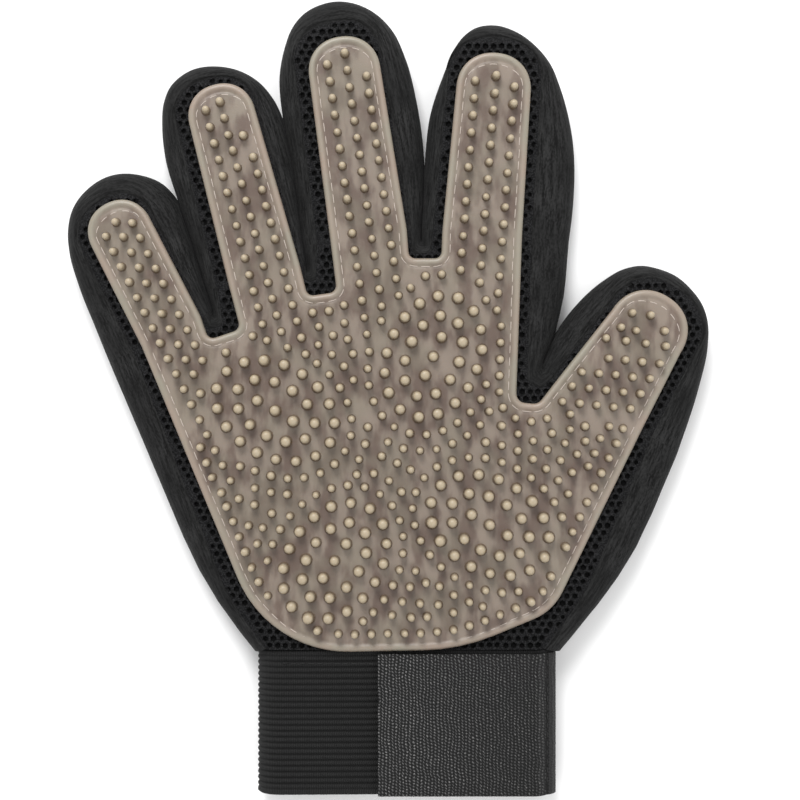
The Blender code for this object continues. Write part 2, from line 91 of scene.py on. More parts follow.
# Fineness of the meshes.
STEP = 0.6
PANEL_STEP = 0.9
COARSE_STEP = 1.2
ARC_STEP = 6.0
CURVE_STEPS = 12
CROWN_STEPS = 44
STRAIGHT_STEPS = 70
GUSSET_ROWS = 18
FOOT_ROWS = 8
STITCH_RINGS = 7
STITCH_SIDES = 6
SHARP_ANGLE = math.radians(55.0)

# Open mesh fabric: each hole is a hexagonal pit.
HOLE_PITCH = 2.45
HOLE_RADIUS = 0.82
HOLE_RIM = 1.08
HOLE_DEPTH = 1.0
HOLE_SIDES = 6
PLAIN_PITCH = 3.0

# A length along a finger from its hinge line; settle works out where it ends on each finger, and nothing uses
# that place.
BLEND_LENGTH = 34.0

# The wrist band, and the strap over it from its free end to its sewn end.
BAND_LEFT, BAND_RIGHT = -40.3 + CENTRING[0], 50.5 + CENTRING[0]
BAND_NEAR, BAND_FAR = -75.3 + CENTRING[1], -119.0 + CENTRING[1]
BAND_TOP = 14.4
RIB_PITCH = 1.75
STRAP_LEFT = -3.6 + CENTRING[0]
STRAP_HINGE = 44.0 + CENTRING[0]
STRAP_RIGHT = 50.2 + CENTRING[0]
STRAP_NEAR = -76.4 + CENTRING[1]
STRAP_FAR = -119.1 + CENTRING[1]
STRAP_TOP = 17.9
STRAP_BOTTOM = 16.9
ROOT_STITCH_X = STRAP_RIGHT - 2.9
ANCHOR_CLEAR = 0.45
BAND_THICKNESS = 1.5
BAND_ROUNDING = 0.5
BAND_ROWS = 200
RIB_DEPTH = 0.4


# ---- plan geometry

def widen(points):
    """Places of the side fabric's outline, from the listed outline's."""
    return VIEW_CENTRE + (points - VIEW_CENTRE) * SPREAD


def distances(points):
    """How far along a run each of its points lies."""
    return np.concatenate([[0.0], np.cumsum(np.hypot(*np.diff(points, axis=0).T))])


def resample(points, count):
    """Spread count points evenly along a run."""
    run = distances(points)
    at = np.linspace(0.0, run[-1], count)
    return np.column_stack([np.interp(at, run, points[:, axis]) for axis in range(points.shape[1])])


def length_of(points):
    return float(np.sum(np.hypot(*np.diff(points, axis=0)[:, :2].T)))


def rounded(corners):
    """Turn an open run of corners (x, y, radius) into points, with each corner as an arc."""
    points = [np.array(corners[0][:2], float)]
    for before, corner, after in zip(corners, corners[1:], corners[2:]):
        middle = np.array(corner[:2], float)
        back = np.array(before[:2]) - middle
        ahead = np.array(after[:2]) - middle
        back /= np.linalg.norm(back)
        ahead /= np.linalg.norm(ahead)
        half = 0.5 * math.acos(np.clip(back @ ahead, -1.0, 1.0))
        centre = middle + (back + ahead) / np.linalg.norm(back + ahead) * corner[2] / math.sin(half)
        start = middle + back * corner[2] / math.tan(half) - centre
        end = middle + ahead * corner[2] / math.tan(half) - centre
        turn = math.pi - 2 * half
        steps = max(1, math.ceil(math.degrees(turn) / ARC_STEP))
        for step in range(steps + 1):
            share = step / steps
            mix = math.sin((1 - share) * turn) * start + math.sin(share * turn) * end
            points.append(centre + mix / math.sin(turn))
    points.append(np.array(corners[-1][:2], float))
    return np.array(points)


def curve(places, steps):
    """A smooth curve through places, with a number of steps from each to the next."""
    run = distances(places)
    slope = np.gradient(places, run, axis=0)
    points = []
    for index in range(len(places) - 1):
        span = run[index + 1] - run[index]
        for share in np.arange(steps) / steps:
            square, cube = share ** 2, share ** 3
            blend = 3 * square - 2 * cube
            bend = (cube - 2 * square + share) * slope[index] + (cube - square) * slope[index + 1]
            points.append((1 - blend) * places[index] + blend * places[index + 1] + span * bend)
    points.append(places[-1])
    return np.array(points)


def move_in(points, distance, start_way, end_way):
    """Move a clockwise run sideways into the glove; its ends move along the given ways."""
    ahead = np.gradient(points, axis=0)
    ahead /= np.hypot(*ahead.T)[:, None]
    inwards = np.column_stack([ahead[:, 1], -ahead[:, 0]])
    inwards[0] = start_way
    inwards[-1] = end_way
    return points + inwards * distance


def inside(outline, points):
    """For each point, whether a closed outline goes round it."""
    start = outline[:, None, :]
    end = np.roll(outline, -1, axis=0)[:, None, :]
    x, y = points[None, :, 0], points[None, :, 1]
    crossing = (start[..., 1] > y) != (end[..., 1] > y)
    rise = np.where(crossing, end[..., 1] - start[..., 1], 1.0)
    meets = start[..., 0] + (y - start[..., 1]) * (end[..., 0] - start[..., 0]) / rise
    return np.count_nonzero(crossing & (x < meets), axis=0) % 2 == 1


def gap_to(starts, ends, points):
    """For each point, its distance to the nearest of some straight pieces."""
    nearest = np.full(len(points), 1e9)
    way = (ends - starts)[None]
    for chunk in np.array_split(np.arange(len(points)), max(1, len(points) // 1500)):
        offset = points[chunk, None, :] - starts[None]
        share = np.clip((offset * way).sum(2) / np.maximum((way ** 2).sum(2), 1e-12), 0.0, 1.0)
        nearest[chunk] = np.sqrt((((offset - share[..., None] * way) ** 2).sum(2)).min(1))
    return nearest


def distance_to(loop, points):
    """For each point, its distance to a closed outline."""
    return gap_to(loop, np.roll(loop, -1, axis=0), points)


def lift(points):
    """How far the soft glove rises and dips by itself, in long low waves."""
    x, y = points[:, 0], points[:, 1]
    wave = np.sin(x / 17.0 + 0.6) * np.sin(y / 23.0 + 1.1) + 0.5 * np.sin(x / 9.0 - y / 13.0)
    return 0.22 * wave


# ---- the hand's outlines

class Finger:
    """One finger: s runs along it from its hinge line, and t across it, towards the thumb side."""

    def __init__(self, name, body, pad, margins, left, apex, right):
        joint = next(one for one in frame["joints"] if one["name"] == name + "_flex")
        self.name = name
        self.body = body
        self.root = np.array(joint["pos_m"][:2]) / MM
        self.across = np.array(joint["axis"][:2])
        self.along = np.array([-self.across[1], self.across[0]])
        self.pad_length, self.pad_root, self.pad_tip = pad
        self.margins = margins
        self.walls = {-1: left, 1: right}
        self.apex = apex

    def at(self, s, t):
        return self.root + np.multiply.outer(s, self.along) + np.multiply.outer(t, self.across)

    def half(self, side, root, tip, reach, crown, power, apex=0.0):
        """Half an outline: straight from the root's width to the tip's, then round the fingertip."""
        shoulder = reach - crown
        share = np.linspace(0.0, 1.0, STRAIGHT_STEPS, endpoint=False)
        straight = self.at(share * shoulder, side * (root + (tip - root) * share))
        angle = np.linspace(0.0, math.pi / 2, CROWN_STEPS)
        rise = np.sin(angle) ** (2 / power)
        spread = np.maximum(np.cos(angle), 0.0) ** (2 / power)
        cap = self.at(shoulder + crown * rise, apex + (side * tip - apex) * spread)
        return np.concatenate([straight, cap])

    def around(self, kind):
        """A whole outline: up the left side, round the tip and down the right side."""
        halves = []
        for side in (-1, 1):
            margin = self.margins[0 if side < 0 else 1]
            root, tip = self.pad_root, self.pad_tip
            if kind == "pad":
                halves.append(self.half(side, root, tip, self.pad_length, tip, 2.15))
            elif kind == "seam":
                reach = self.pad_length + self.margins[2]
                halves.append(self.half(side, root + margin, tip + margin, reach, tip + 2.0, 2.4,
                                        0.3 * self.apex[1]))
            else:
                halves.append(self.wall_half(side))
        if kind != "pad":
            halves = [resample(one, STRAIGHT_STEPS + CROWN_STEPS) for one in halves]
        return np.concatenate([halves[0], halves[1][::-1][1:]])

    def wall_half(self, side):
        """Half the finger's outer outline, as a smooth curve through its listed places."""
        places = {one: [(s, one * width) for s, width in self.walls[one]] for one in (-1, 1)}
        whole = places[-1] + [self.apex] + places[1][::-1]
        line = curve(self.at(*np.array(whole).T), CURVE_STEPS)
        middle = CURVE_STEPS * len(places[-1])
        return line[:middle + 1] if side < 0 else line[middle:][::-1]

    def width(self, kind, side):
        margin = self.margins[0 if side < 0 else 1]
        return {"pad": self.pad_root, "seam": self.pad_root + margin, "wall": self.walls[side][0][1]}[kind]


# name, body, pad (length, half width at root, at tip), margins of open mesh (left, right, tip), then the
# outer outline: places (distance along, width) up the left side, the tip, and places up the right side.
FINGERS = [
    Finger("little", "little_finger", (43.0, 9.9, 9.7), (3.4, 0.9, 2.2),
           [(0.0, 20.5), (10.0, 19.7), (25.0, 18.2), (35.0, 16.2), (41.0, 13.7), (46.2, 9.4), (48.6, 5.4)],
           (50.1, 2.6),
           [(0.0, 13.6), (10.0, 15.0), (25.0, 17.7), (35.0, 18.7), (41.0, 16.9), (46.2, 12.2), (48.6, 8.4)]),
    Finger("ring", "ring_finger", (59.0, 11.1, 10.1), (4.0, 0.9, 2.8),
           [(0.0, 17.5), (14.0, 18.0), (29.0, 19.0), (42.0, 19.3), (51.0, 17.9), (57.5, 15.7), (62.0, 12.3)],
           (64.9, -5.6),
           [(0.0, 12.3), (14.0, 14.2), (29.0, 16.3), (42.0, 16.9), (51.0, 15.4), (57.0, 12.4), (61.2, 8.0),
            (63.8, 2.6)]),
    Finger("middle", "middle_finger", (60.5, 11.6, 10.8), (4.2, 1.0, 5.2),
           [(0.0, 19.7), (12.5, 19.5), (24.5, 19.4), (38.5, 19.9), (52.5, 18.9), (60.0, 16.3), (65.5, 13.2),
            (69.2, 9.0)],
           (71.2, -0.8),
           [(0.0, 15.6), (12.5, 18.2), (24.5, 19.5), (38.5, 19.5), (52.5, 17.9), (60.2, 15.5), (65.5, 11.7),
            (69.2, 6.7)]),
    Finger("index", "index_finger", (54.5, 12.0, 11.2), (2.9, 3.2, 5.2),
           [(0.0, 17.8), (10.5, 18.0), (22.5, 18.2), (34.5, 17.7), (46.5, 14.8), (53.0, 12.6), (58.6, 9.7),
            (61.2, 6.8)],
           (62.6, -0.8),
           [(0.0, 25.8), (10.5, 26.2), (22.5, 25.7), (34.5, 23.6), (46.5, 19.3), (52.5, 16.1), (57.4, 11.3),
            (60.8, 6.0)]),
    Finger("thumb", "thumb", (38.0, 14.7, 12.1), (1.5, 4.0, 4.0),
           [(0.0, 21.2), (9.4, 21.9), (20.6, 21.3), (32.0, 18.2), (38.0, 15.0), (41.4, 11.4), (43.3, 6.8)],
           (44.3, -1.2),
           [(0.0, 27.3), (9.4, 25.1), (20.6, 22.0), (32.0, 17.6), (38.0, 13.6), (41.4, 9.5), (43.4, 4.5)]),
]

# Corners (x, y, corner radius) between one finger and the next.
CROTCHES = [
    {"pad": [(-54.6, 17.9, 2.2), (-45.0, 21.1, 2.2)],
     "seam": [(-54.4, 21.5, 1.2), (-50.6, 22.4, 1.2)],
     "wall": [(-53.3, 25.0, 0.5), (-52.2, 25.2, 0.5)]},
    {"pad": [(-24.8, 31.0, 2.2), (-16.0, 32.3, 2.2)],
     "seam": [(-25.6, 36.0, 1.2), (-22.6, 35.8, 1.2)],
     "wall": [(-25.8, 38.9, 0.5), (-24.9, 38.9, 0.5)]},
    {"pad": [(5.7, 42.4, 2.0), (15.4, 42.4, 2.0)],
     "seam": [(7.0, 44.2, 1.2), (12.2, 44.2, 1.2)],
     "wall": [(9.0, 47.4, 0.5), (10.0, 47.4, 0.5)]},
    {"pad": [(37.9, -0.8, 2.8), (44.6, -1.4, 3.0)],
     "seam": [(41.6, 5.4, 1.5), (45.6, 3.6, 1.5)],
     "wall": [(52.0, 31.0, 60.0), (48.6, 17.6, 30.0), (44.2, 9.3, 0.5), (44.6, 7.7, 0.5)]},
]
WRIST_Y = -75.3
HEEL = [(49.0, -63.6, 17.0), (21.0, -75.2, 60.0), (-36.5, -76.2, 36.0)]
SIDES = {
    "seam": ([(-37.5, WRIST_Y, 0.0), (-49.0, -60.0, 60.0)], [(58.5, -60.0, 80.0), (46.5, WRIST_Y, 0.0)]),
    "wall": ([(-40.3, WRIST_Y, 0.0), (-55.4, -56.4, 120.0)], [(72.2, -49.4, 110.0), (50.9, WRIST_Y, 0.0)]),
}


def centred(corners):
    """Listed corners, moved so that the whole model stands about the origin."""
    return [(x + CENTRING[0], y + CENTRING[1], radius) for x, y, radius in corners]


def corner(place):
    """A place as a corner without a radius, for the end of a run."""
    return (place[0], place[1], 0.0)


def between(index, kind):
    """The run from one finger's right root, round the crotch, to the next finger's left root."""
    left, right = FINGERS[index], FINGERS[index + 1]
    start = corner(left.at(0.0, left.width(kind, 1)))
    end = corner(right.at(0.0, -right.width(kind, -1)))
    return rounded([start] + centred(CROTCHES[index][kind]) + [end])


def outer_side(which, kind):
    """The run up the little finger's side of the palm, or down the thumb's side."""
    inner_corners = centred(SIDES[kind][which])
    if which == 0:
        little = FINGERS[0]
        return rounded(inner_corners + [corner(little.at(0.0, -little.width(kind, -1)))])
    thumb = FINGERS[-1]
    return rounded([corner(thumb.at(0.0, thumb.width(kind, 1)))] + inner_corners)


def heel_run():
    """The pad's edge round the heel of the hand, from the thumb's root to the little finger's."""
    thumb, little = FINGERS[-1], FINGERS[0]
    start = corner(thumb.at(0.0, thumb.pad_root))
    end = corner(little.at(0.0, -little.pad_root))
    return rounded([start] + centred(HEEL) + [end])


def even(points):
    """A run with its points about a step apart."""
    return resample(points, max(6, int(length_of(points) / STEP)))


# ---- meshes

def new_piece(name, points, faces, material, attributes=()):
    """A mesh object from points in millimetres; attributes are (name, values) at its points."""
    mesh = bpy.data.meshes.new(name)
    mesh.from_pydata((np.asarray(points) * MM).tolist(), [], faces)
    mesh.validate()
    for label, values in attributes:
        values = np.asarray(values, np.float32)
        kind, field = ("FLOAT", "value") if values.ndim == 1 else ("FLOAT_VECTOR", "vector")
        mesh.attributes.new(label, kind, "POINT").data.foreach_set(field, values.ravel())
    mesh.materials.append(material)
    mesh.shade_smooth()
    mesh.set_sharp_from_angle(angle=SHARP_ANGLE)
    piece = bpy.data.objects.new(name, mesh)
    bpy.context.scene.collection.objects.link(piece)
    return piece


def settle(piece, slot, finger, *nodes):
    """Hide the CAD nodes that a piece stands for, then attach the piece to the palm; a finger's piece only
    has its transform baked in and is attached to nothing. The slot argument is not used.
    """
    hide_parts(*nodes)
    if finger:
        start = finger.at(0.0, 0.0) * MM
        end = finger.at(BLEND_LENGTH, 0.0) * MM
        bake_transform(piece)
    else:
        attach(piece, "palm")


def thicken(piece, thickness):
    """Give an open sheet a thickness on its inner side, as plain mesh."""
    solid = piece.modifiers.new("thickness", "SOLIDIFY")
    solid.thickness = thickness * MM
    solid.offset = -1.0
    bpy.context.view_layer.update()
    graph = bpy.context.evaluated_depsgraph_get()
    mesh = bpy.data.meshes.new_from_object(piece.evaluated_get(graph), preserve_all_data_layers=True,
                                           depsgraph=graph)
    piece.modifiers.clear()
    piece.data = mesh
    mesh.set_sharp_from_angle(angle=SHARP_ANGLE)


def grid_faces(rows, columns, start=0, closed=False):
    """Faces of a grid whose points are listed row by row."""
    faces = []
    for row in range(rows - 1):
        for column in range(columns if closed else columns - 1):
            a = start + row * columns + column
            b = start + row * columns + (column + 1) % columns
            faces.append((a, b, b + columns, a + columns))
    return faces


def fill_outline(outline, inner_points, edges=()):
    """Triangles over a closed outline that use the given inner points and edges between them."""
    points = np.concatenate([outline, inner_points]) if len(inner_points) else outline
    flat = [Vector(point) for point in points.tolist()]
    shifted = [(a + len(outline), b + len(outline)) for a, b in edges]
    found = delaunay_2d_cdt(flat, shifted, [list(range(len(outline)))[::-1]], 1, 1e-7)
    coordinates = np.array([tuple(point) for point in found[0]])
    triangles = []
    for face in found[2]:
        a, b, c = coordinates[list(face)[:3]]
        turn = (b[0] - a[0]) * (c[1] - a[1]) - (b[1] - a[1]) * (c[0] - a[0])
        triangles.append(tuple(face) if turn > 0 else tuple(face)[::-1])
    return coordinates, triangles


def lattice(low, high, pitch):
    """Points of a honeycomb lattice over a rectangle; low and high are its corners."""
    rise = pitch * math.sqrt(3) / 2
    points = []
    for row in range(int(low[1] // rise), int(high[1] // rise) + 2):
        shift = 0.5 * pitch * (row % 2)
        first = int((low[0] - shift) // pitch)
        last = int((high[0] - shift) // pitch) + 2
        points += [(column * pitch + shift, row * rise) for column in range(first, last)]
    return np.array(points)


def spaced_lattice(outline, pitch, clear):
    """Lattice points inside an outline, at least clear away from it."""
    points = lattice(outline.min(0), outline.max(0), pitch)
    points = points[inside(outline, points)]
    return points[distance_to(outline, points) > clear]


def pit_levels(holes):
    """Rings round the holes from rim to bottom, as (places, drop); each hole differs a little."""
    middles = np.repeat(holes, HOLE_SIDES, axis=0)
    chance = np.random.default_rng(len(holes))
    sizes = 1.0 + 0.13 * np.clip(chance.standard_normal(len(holes)), -1.6, 0.9)
    scale = np.repeat(sizes, HOLE_SIDES)[:, None]
    drift = np.repeat(0.12 * np.clip(chance.standard_normal((len(holes), 2)), -1.0, 1.0), HOLE_SIDES, axis=0)
    angles = np.radians(np.arange(0.0, 360.0, 360.0 / HOLE_SIDES) + 30.0)
    ring = np.column_stack([np.cos(angles), np.sin(angles)])
    levels = []
    for radius, drop in ((HOLE_RIM, 0.0), (HOLE_RADIUS, 0.28), (HOLE_RADIUS * 0.84, 1.0)):
        places = (holes[:, None, :] + ring[None] * radius).reshape(-1, 2)
        if drop > 0.0:
            places = middles + (places - middles) * scale + drift
        levels.append((places, drop))
    return levels


def mesh_sheet(name, outline, height, wanted, side):
    """A sheet of open mesh fabric with real pits at a honeycomb of places.

    height gives the sheet's z at points, wanted says which places get a pit, and side is 1 where the
    pits open upwards and -1 where they open downwards. Elsewhere the sheet has a coarse lattice."""
    holes = spaced_lattice(outline, HOLE_PITCH, HOLE_RIM + 0.1)
    holes = holes[wanted(holes)]
    levels = pit_levels(holes)
    inner_points = levels[0][0]
    edges = [(HOLE_SIDES * hole + step, HOLE_SIDES * hole + (step + 1) % HOLE_SIDES)
             for hole in range(len(holes)) for step in range(HOLE_SIDES)]
    plain = spaced_lattice(outline, PLAIN_PITCH, 0.5 * PLAIN_PITCH)
    plain = plain[~wanted(plain)]
    if len(plain):
        plain = plain[gap_to(holes, holes, plain) > HOLE_RIM + 0.4]
        inner_points = np.concatenate([inner_points, plain])
    flat, triangles = fill_outline(outline, inner_points, edges)
    centres = np.array([flat[list(triangle)].mean(0) for triangle in triangles])
    in_hole = gap_to(holes, holes, centres) < HOLE_RIM * 0.8
    faces = [triangle for triangle, pit in zip(triangles, in_hole) if not pit]
    points = [np.column_stack([flat, height(flat)])]
    pit_depth = [np.zeros(len(flat))]
    for places, drop in levels:
        points.append(np.column_stack([places, height(places) - side * drop * HOLE_DEPTH]))
        pit_depth.append(np.full(len(places), drop))
    size = len(holes) * HOLE_SIDES
    for hole in range(len(holes)):
        for level in range(len(levels) - 1):
            start = len(flat) + level * size
            for a, b in edges[HOLE_SIDES * hole:HOLE_SIDES * (hole + 1)]:
                faces.append((start + a, start + b, start + b + size, start + a + size))
        start = len(flat) + (len(levels) - 1) * size + HOLE_SIDES * hole
        faces.append(tuple(range(start, start + HOLE_SIDES)))
    if side < 0:
        faces = [face[::-1] for face in faces]
    return new_piece(name, np.concatenate(points), faces, AIR_MESH, [("pit", np.concatenate(pit_depth))])


# ---- materials

class Shade:
    """A small helper that builds one material's nodes."""

    def __init__(self, name, roughness, specular=0.3):
        self.material = bpy.data.materials.new(name)
        self.material.use_nodes = True
        self.tree = self.material.node_tree
        self.shader = self.tree.nodes["Principled BSDF"]
        self.shader.inputs["Roughness"].default_value = roughness
        self.shader.inputs["Specular IOR Level"].default_value = specular

    def node(self, kind, **settings):
        made = self.tree.nodes.new("ShaderNode" + kind)
        for key, value in settings.items():
            setattr(made, key, value)
        return made

    def feed(self, value, socket):
        if isinstance(value, bpy.types.NodeSocket):
            self.tree.links.new(value, socket)
        else:
            socket.default_value = value

    def math(self, operation, first, second=0.0, third=0.0):
        made = self.node("Math", operation=operation)
        for value, socket in zip((first, second, third), made.inputs):
            self.feed(value, socket)
        return made.outputs[0]

    def vector(self, operation, first, second=(0.0, 0.0, 0.0)):
        made = self.node("VectorMath", operation=operation)
        self.feed(first, made.inputs[0])
        self.feed(second, made.inputs[1])
        return made.outputs[0]

    def position(self, scale=(1.0, 1.0, 1.0)):
        """The place on the piece in millimetres, times a scale."""
        return self.vector("MULTIPLY", self.node("TexCoord").outputs["Object"],
                           tuple(1000.0 * value for value in scale))

    def attribute(self, name, output="Fac"):
        return self.node("Attribute", attribute_name=name).outputs[output]

    def split(self, vector):
        made = self.node("SeparateXYZ")
        self.feed(vector, made.inputs[0])
        return made.outputs

    def noise(self, vector, scale, detail=2.0, roughness=0.5):
        made = self.node("TexNoise")
        self.feed(vector, made.inputs["Vector"])
        made.inputs["Scale"].default_value = scale
        made.inputs["Detail"].default_value = detail
        made.inputs["Roughness"].default_value = roughness
        return made.outputs["Fac"]

    def between(self, value, low, high):
        """0 below low, 1 above high, smooth between."""
        made = self.node("MapRange", interpolation_type="SMOOTHSTEP")
        self.feed(value, made.inputs["Value"])
        made.inputs["From Min"].default_value = low
        made.inputs["From Max"].default_value = high
        return made.outputs["Result"]

    def wave(self, value, pitch):
        """A wave from 0 to 1 with a pitch in the value's own units."""
        turned = self.math("MULTIPLY", value, 2 * math.pi / pitch)
        return self.math("MULTIPLY_ADD", self.math("SINE", turned), 0.5, 0.5)

    def mix(self, share, first, second):
        made = self.node("Mix", data_type="RGBA")
        self.feed(share, made.inputs["Factor"])
        for value, socket in ((first, made.inputs[6]), (second, made.inputs[7])):
            self.feed(value if isinstance(value, bpy.types.NodeSocket) else (*value, 1.0), socket)
        return made.outputs[2]

    def colour(self, value):
        self.feed(value, self.shader.inputs["Base Color"])

    def bump(self, height, depth):
        """Bump from a height of 0 to 1 that stands for a depth in millimetres."""
        made = self.node("Bump")
        made.inputs["Distance"].default_value = depth * MM
        self.feed(height, made.inputs["Height"])
        self.feed(made.outputs[0], self.shader.inputs["Normal"])


def srgb(*levels):
    """A linear colour from display levels of 0 to 255."""
    return tuple(((level / 255 + 0.055) / 1.055) ** 2.4 for level in levels)


def grey(level):
    return srgb(level, level, level)


def open_mesh_material():
    shade = Shade("air_mesh", 0.8, 0.13)
    place = shade.position()
    pit = shade.attribute("pit")
    yarn = shade.noise(place, 2.3, 3.0, 0.6)
    fine = shade.noise(shade.position((1.0, 3.0, 1.0)), 3.0, 2.0)
    tone = shade.mix(shade.between(yarn, 0.42, 0.66), srgb(9, 9, 10), srgb(40, 40, 41))
    # Painted shade: the colour darkens to near black towards the bottom of each pit, for the shade down the
    # holes.
    shade.colour(shade.mix(shade.between(pit, 0.05, 0.45), tone, grey(4)))
    shade.bump(shade.math("MULTIPLY_ADD", fine, 0.6, yarn), 0.25)
    return shade.material


def gusset_material():
    shade = Shade("gusset_knit", 0.8, 0.13)
    flow = shade.attribute("flow", "Vector")
    streak = shade.noise(shade.vector("MULTIPLY", flow, (0.14, 1.5, 1.0)), 1.0, 3.0, 0.65)
    fine = shade.noise(shade.vector("MULTIPLY", flow, (1.0, 3.2, 1.0)), 1.0, 2.0)
    cloud = shade.noise(shade.position(), 0.07, 2.0)
    knit = shade.math("MULTIPLY_ADD", fine, 0.45, shade.math("MULTIPLY", streak, 0.75))
    tone = shade.mix(shade.between(knit, 0.45, 0.75), grey(6), grey(40))
    faded = shade.math("MULTIPLY", shade.between(cloud, 0.35, 0.65), 0.45)
    shade.colour(shade.mix(faded, tone, grey(15)))
    shade.bump(knit, 0.3)
    shade.shader.inputs["Sheen Weight"].default_value = 0.02
    shade.shader.inputs["Sheen Roughness"].default_value = 0.5
    return shade.material


def silicone_material():
    shade = Shade("silicone", 0.4, 0.45)
    place = shade.position()
    rim = shade.attribute("rim")
    rise = shade.attribute("rise")
    # Dark vertical streaks and blotches, laid at random: partly the translucent silicone's own mottling,
    # partly painted shade for the shadows that fall between the nubs.
    streaks = shade.noise(shade.position((1.0, 0.4, 1.0)), 0.19, 3.0, 0.5)
    cloud = shade.noise(place, 0.09, 3.0)
    body = shade.mix(shade.between(streaks, 0.4, 0.6), srgb(90, 75, 66), srgb(123, 111, 100))
    body = shade.mix(shade.math("MULTIPLY", shade.between(cloud, 0.42, 0.62), 0.45), body, srgb(115, 108, 94))
    tint = shade.noise(place, 0.06, 2.0)
    edge = shade.mix(shade.between(tint, 0.35, 0.65), srgb(134, 120, 108), srgb(128, 122, 109))
    body = shade.mix(rim, body, edge)
    # Painted light: each nub runs from dark at its foot to light at its top, painted shade on the stalk and a
    # painted highlight on the cap.
    nub = shade.mix(shade.between(rise, 0.02, 0.75), srgb(92, 77, 62), srgb(154, 141, 119))
    shade.colour(shade.mix(shade.between(rise, 0.0, 0.06), body, nub))
    shade.bump(shade.noise(place, 2.2, 3.0), 0.05)
    shade.shader.inputs["Subsurface Weight"].default_value = 0.12
    shade.shader.inputs["Subsurface Radius"].default_value = (1.0, 0.7, 0.45)
    shade.shader.inputs["Subsurface Scale"].default_value = 1.0 * MM
    return shade.material


def thread_material(name, dark, light):
    shade = Shade(name, 0.6, 0.3)
    place = shade.position()
    twist = shade.noise(place, 4.0, 2.0)
    shade.colour(shade.mix(twist, dark, light))
    shade.bump(twist, 0.08)
    return shade.material


def elastic_material():
    shade = Shade("elastic_webbing", 0.75, 0.2)
    groove = shade.attribute("groove")
    along, _, _ = shade.split(shade.attribute("flow", "Vector"))
    ends = shade.wave(along, 0.55)
    fuzz = shade.noise(shade.position((0.4, 2.0, 0.4)), 2.0, 4.0)
    tone = shade.mix(shade.math("MULTIPLY", ends, fuzz), grey(14), grey(50))
    # Painted shade: the colour darkens to near black in the grooves between the ribs.
    shade.colour(shade.mix(shade.between(groove, 0.35, 0.95), tone, grey(9)))
    shade.bump(shade.math("MULTIPLY_ADD", fuzz, 0.6, ends), 0.18)
    return shade.material


def strap_material():
    shade = Shade("strap_knit", 0.66, 0.22)
    x, y, _ = shade.split(shade.position())
    wander = shade.noise(shade.position((0.2, 0.2, 0.2)), 1.0, 2.0)
    column = shade.wave(shade.math("MULTIPLY_ADD", wander, 1.6, x), 1.05)
    slant = shade.math("MULTIPLY_ADD", shade.noise(shade.position((1.0, 0.2, 1.0)), 0.9, 1.0), 1.6, y)
    dash = shade.wave(shade.math("MULTIPLY_ADD", x, 0.45, slant), 0.95)
    grain = shade.noise(shade.position((1.4, 1.0, 1.0)), 1.3, 3.0, 0.7)
    stitch = shade.math("MULTIPLY", shade.math("MULTIPLY", column, dash), grain)
    fade = shade.between(x, STRAP_LEFT, STRAP_RIGHT)
    yarn = shade.mix(fade, grey(78), grey(56))
    tone = shade.mix(shade.between(stitch, 0.03, 0.38), grey(17), yarn)
    # Painted highlights: small bright glints on the yarn, where the knit would catch the light.
    glint_noise = shade.noise(shade.position((1.0, 0.7, 1.0)), 2.4, 1.0)
    shine = shade.math("MULTIPLY", shade.between(glint_noise, 0.54, 0.66), shade.between(stitch, 0.12, 0.32))
    tone = shade.mix(shine, tone, shade.mix(fade, srgb(120, 119, 118), srgb(94, 93, 92)))
    from_seam = shade.math("ABSOLUTE", shade.math("SUBTRACT", x, ROOT_STITCH_X))
    tone = shade.mix(shade.between(x, ROOT_STITCH_X, ROOT_STITCH_X + 0.8), tone, grey(33))
    shade.colour(shade.mix(shade.between(from_seam, 0.25, 0.7), grey(7), tone))
    shade.bump(shade.math("MULTIPLY_ADD", dash, 0.6, column), 0.3)
    return shade.material


def loop_material(name, dark, light):
    shade = Shade(name, 0.85, 0.2)
    fuzz = shade.noise(shade.position(), 3.5, 4.0)
    shade.colour(shade.mix(fuzz, dark, light))
    shade.bump(fuzz, 0.3)
    return shade.material


def floor_material():
    shade = Shade("floor", 0.9, 0.1)
    shade.colour((0.88, 0.88, 0.88, 1.0))
    return shade.material


AIR_MESH = open_mesh_material()
GUSSET = gusset_material()
SILICONE = silicone_material()
PALE_THREAD = thread_material("pale_thread", srgb(150, 138, 128), srgb(196, 186, 177))
DARK_THREAD = thread_material("dark_thread", grey(10), grey(34))
ELASTIC = elastic_material()
STRAP = strap_material()
LOOPS = loop_material("loop_tape", grey(20), grey(48))
HOOKS = loop_material("hook_tape_plastic", srgb(24, 24, 25), srgb(60, 60, 62))


# ---- the whole perimeter

def perimeter(kind):
    """An outline's runs in clockwise order: the pad's close at the heel, others go from wrist to wrist."""
    runs = []
    for index, finger in enumerate(FINGERS):
        runs.append(finger.around(kind))
        if index < len(FINGERS) - 1:
            runs.append(even(between(index, kind)))
    if kind == "pad":
        return runs + [even(heel_run())]
    return [even(outer_side(0, kind))] + runs + [even(outer_side(1, kind))]


def joined(runs):
    """One coarse run through several."""
    whole = np.concatenate(runs)
    return resample(whole, int(length_of(whole) / COARSE_STEP))


SEAM_RUN = joined(perimeter("seam"))
PAD_LOOP = joined(perimeter("pad"))


def panel_height(points):
    """Height of the open mesh: it falls towards the seam that holds it."""
    near = np.clip(1.0 - gap_to(SEAM_RUN[:-1], SEAM_RUN[1:], points) / SEAM_SLOPE, 0.0, 1.0)
    return PANEL_TOP - SEAM_DROP * near ** 1.6 + lift(points)


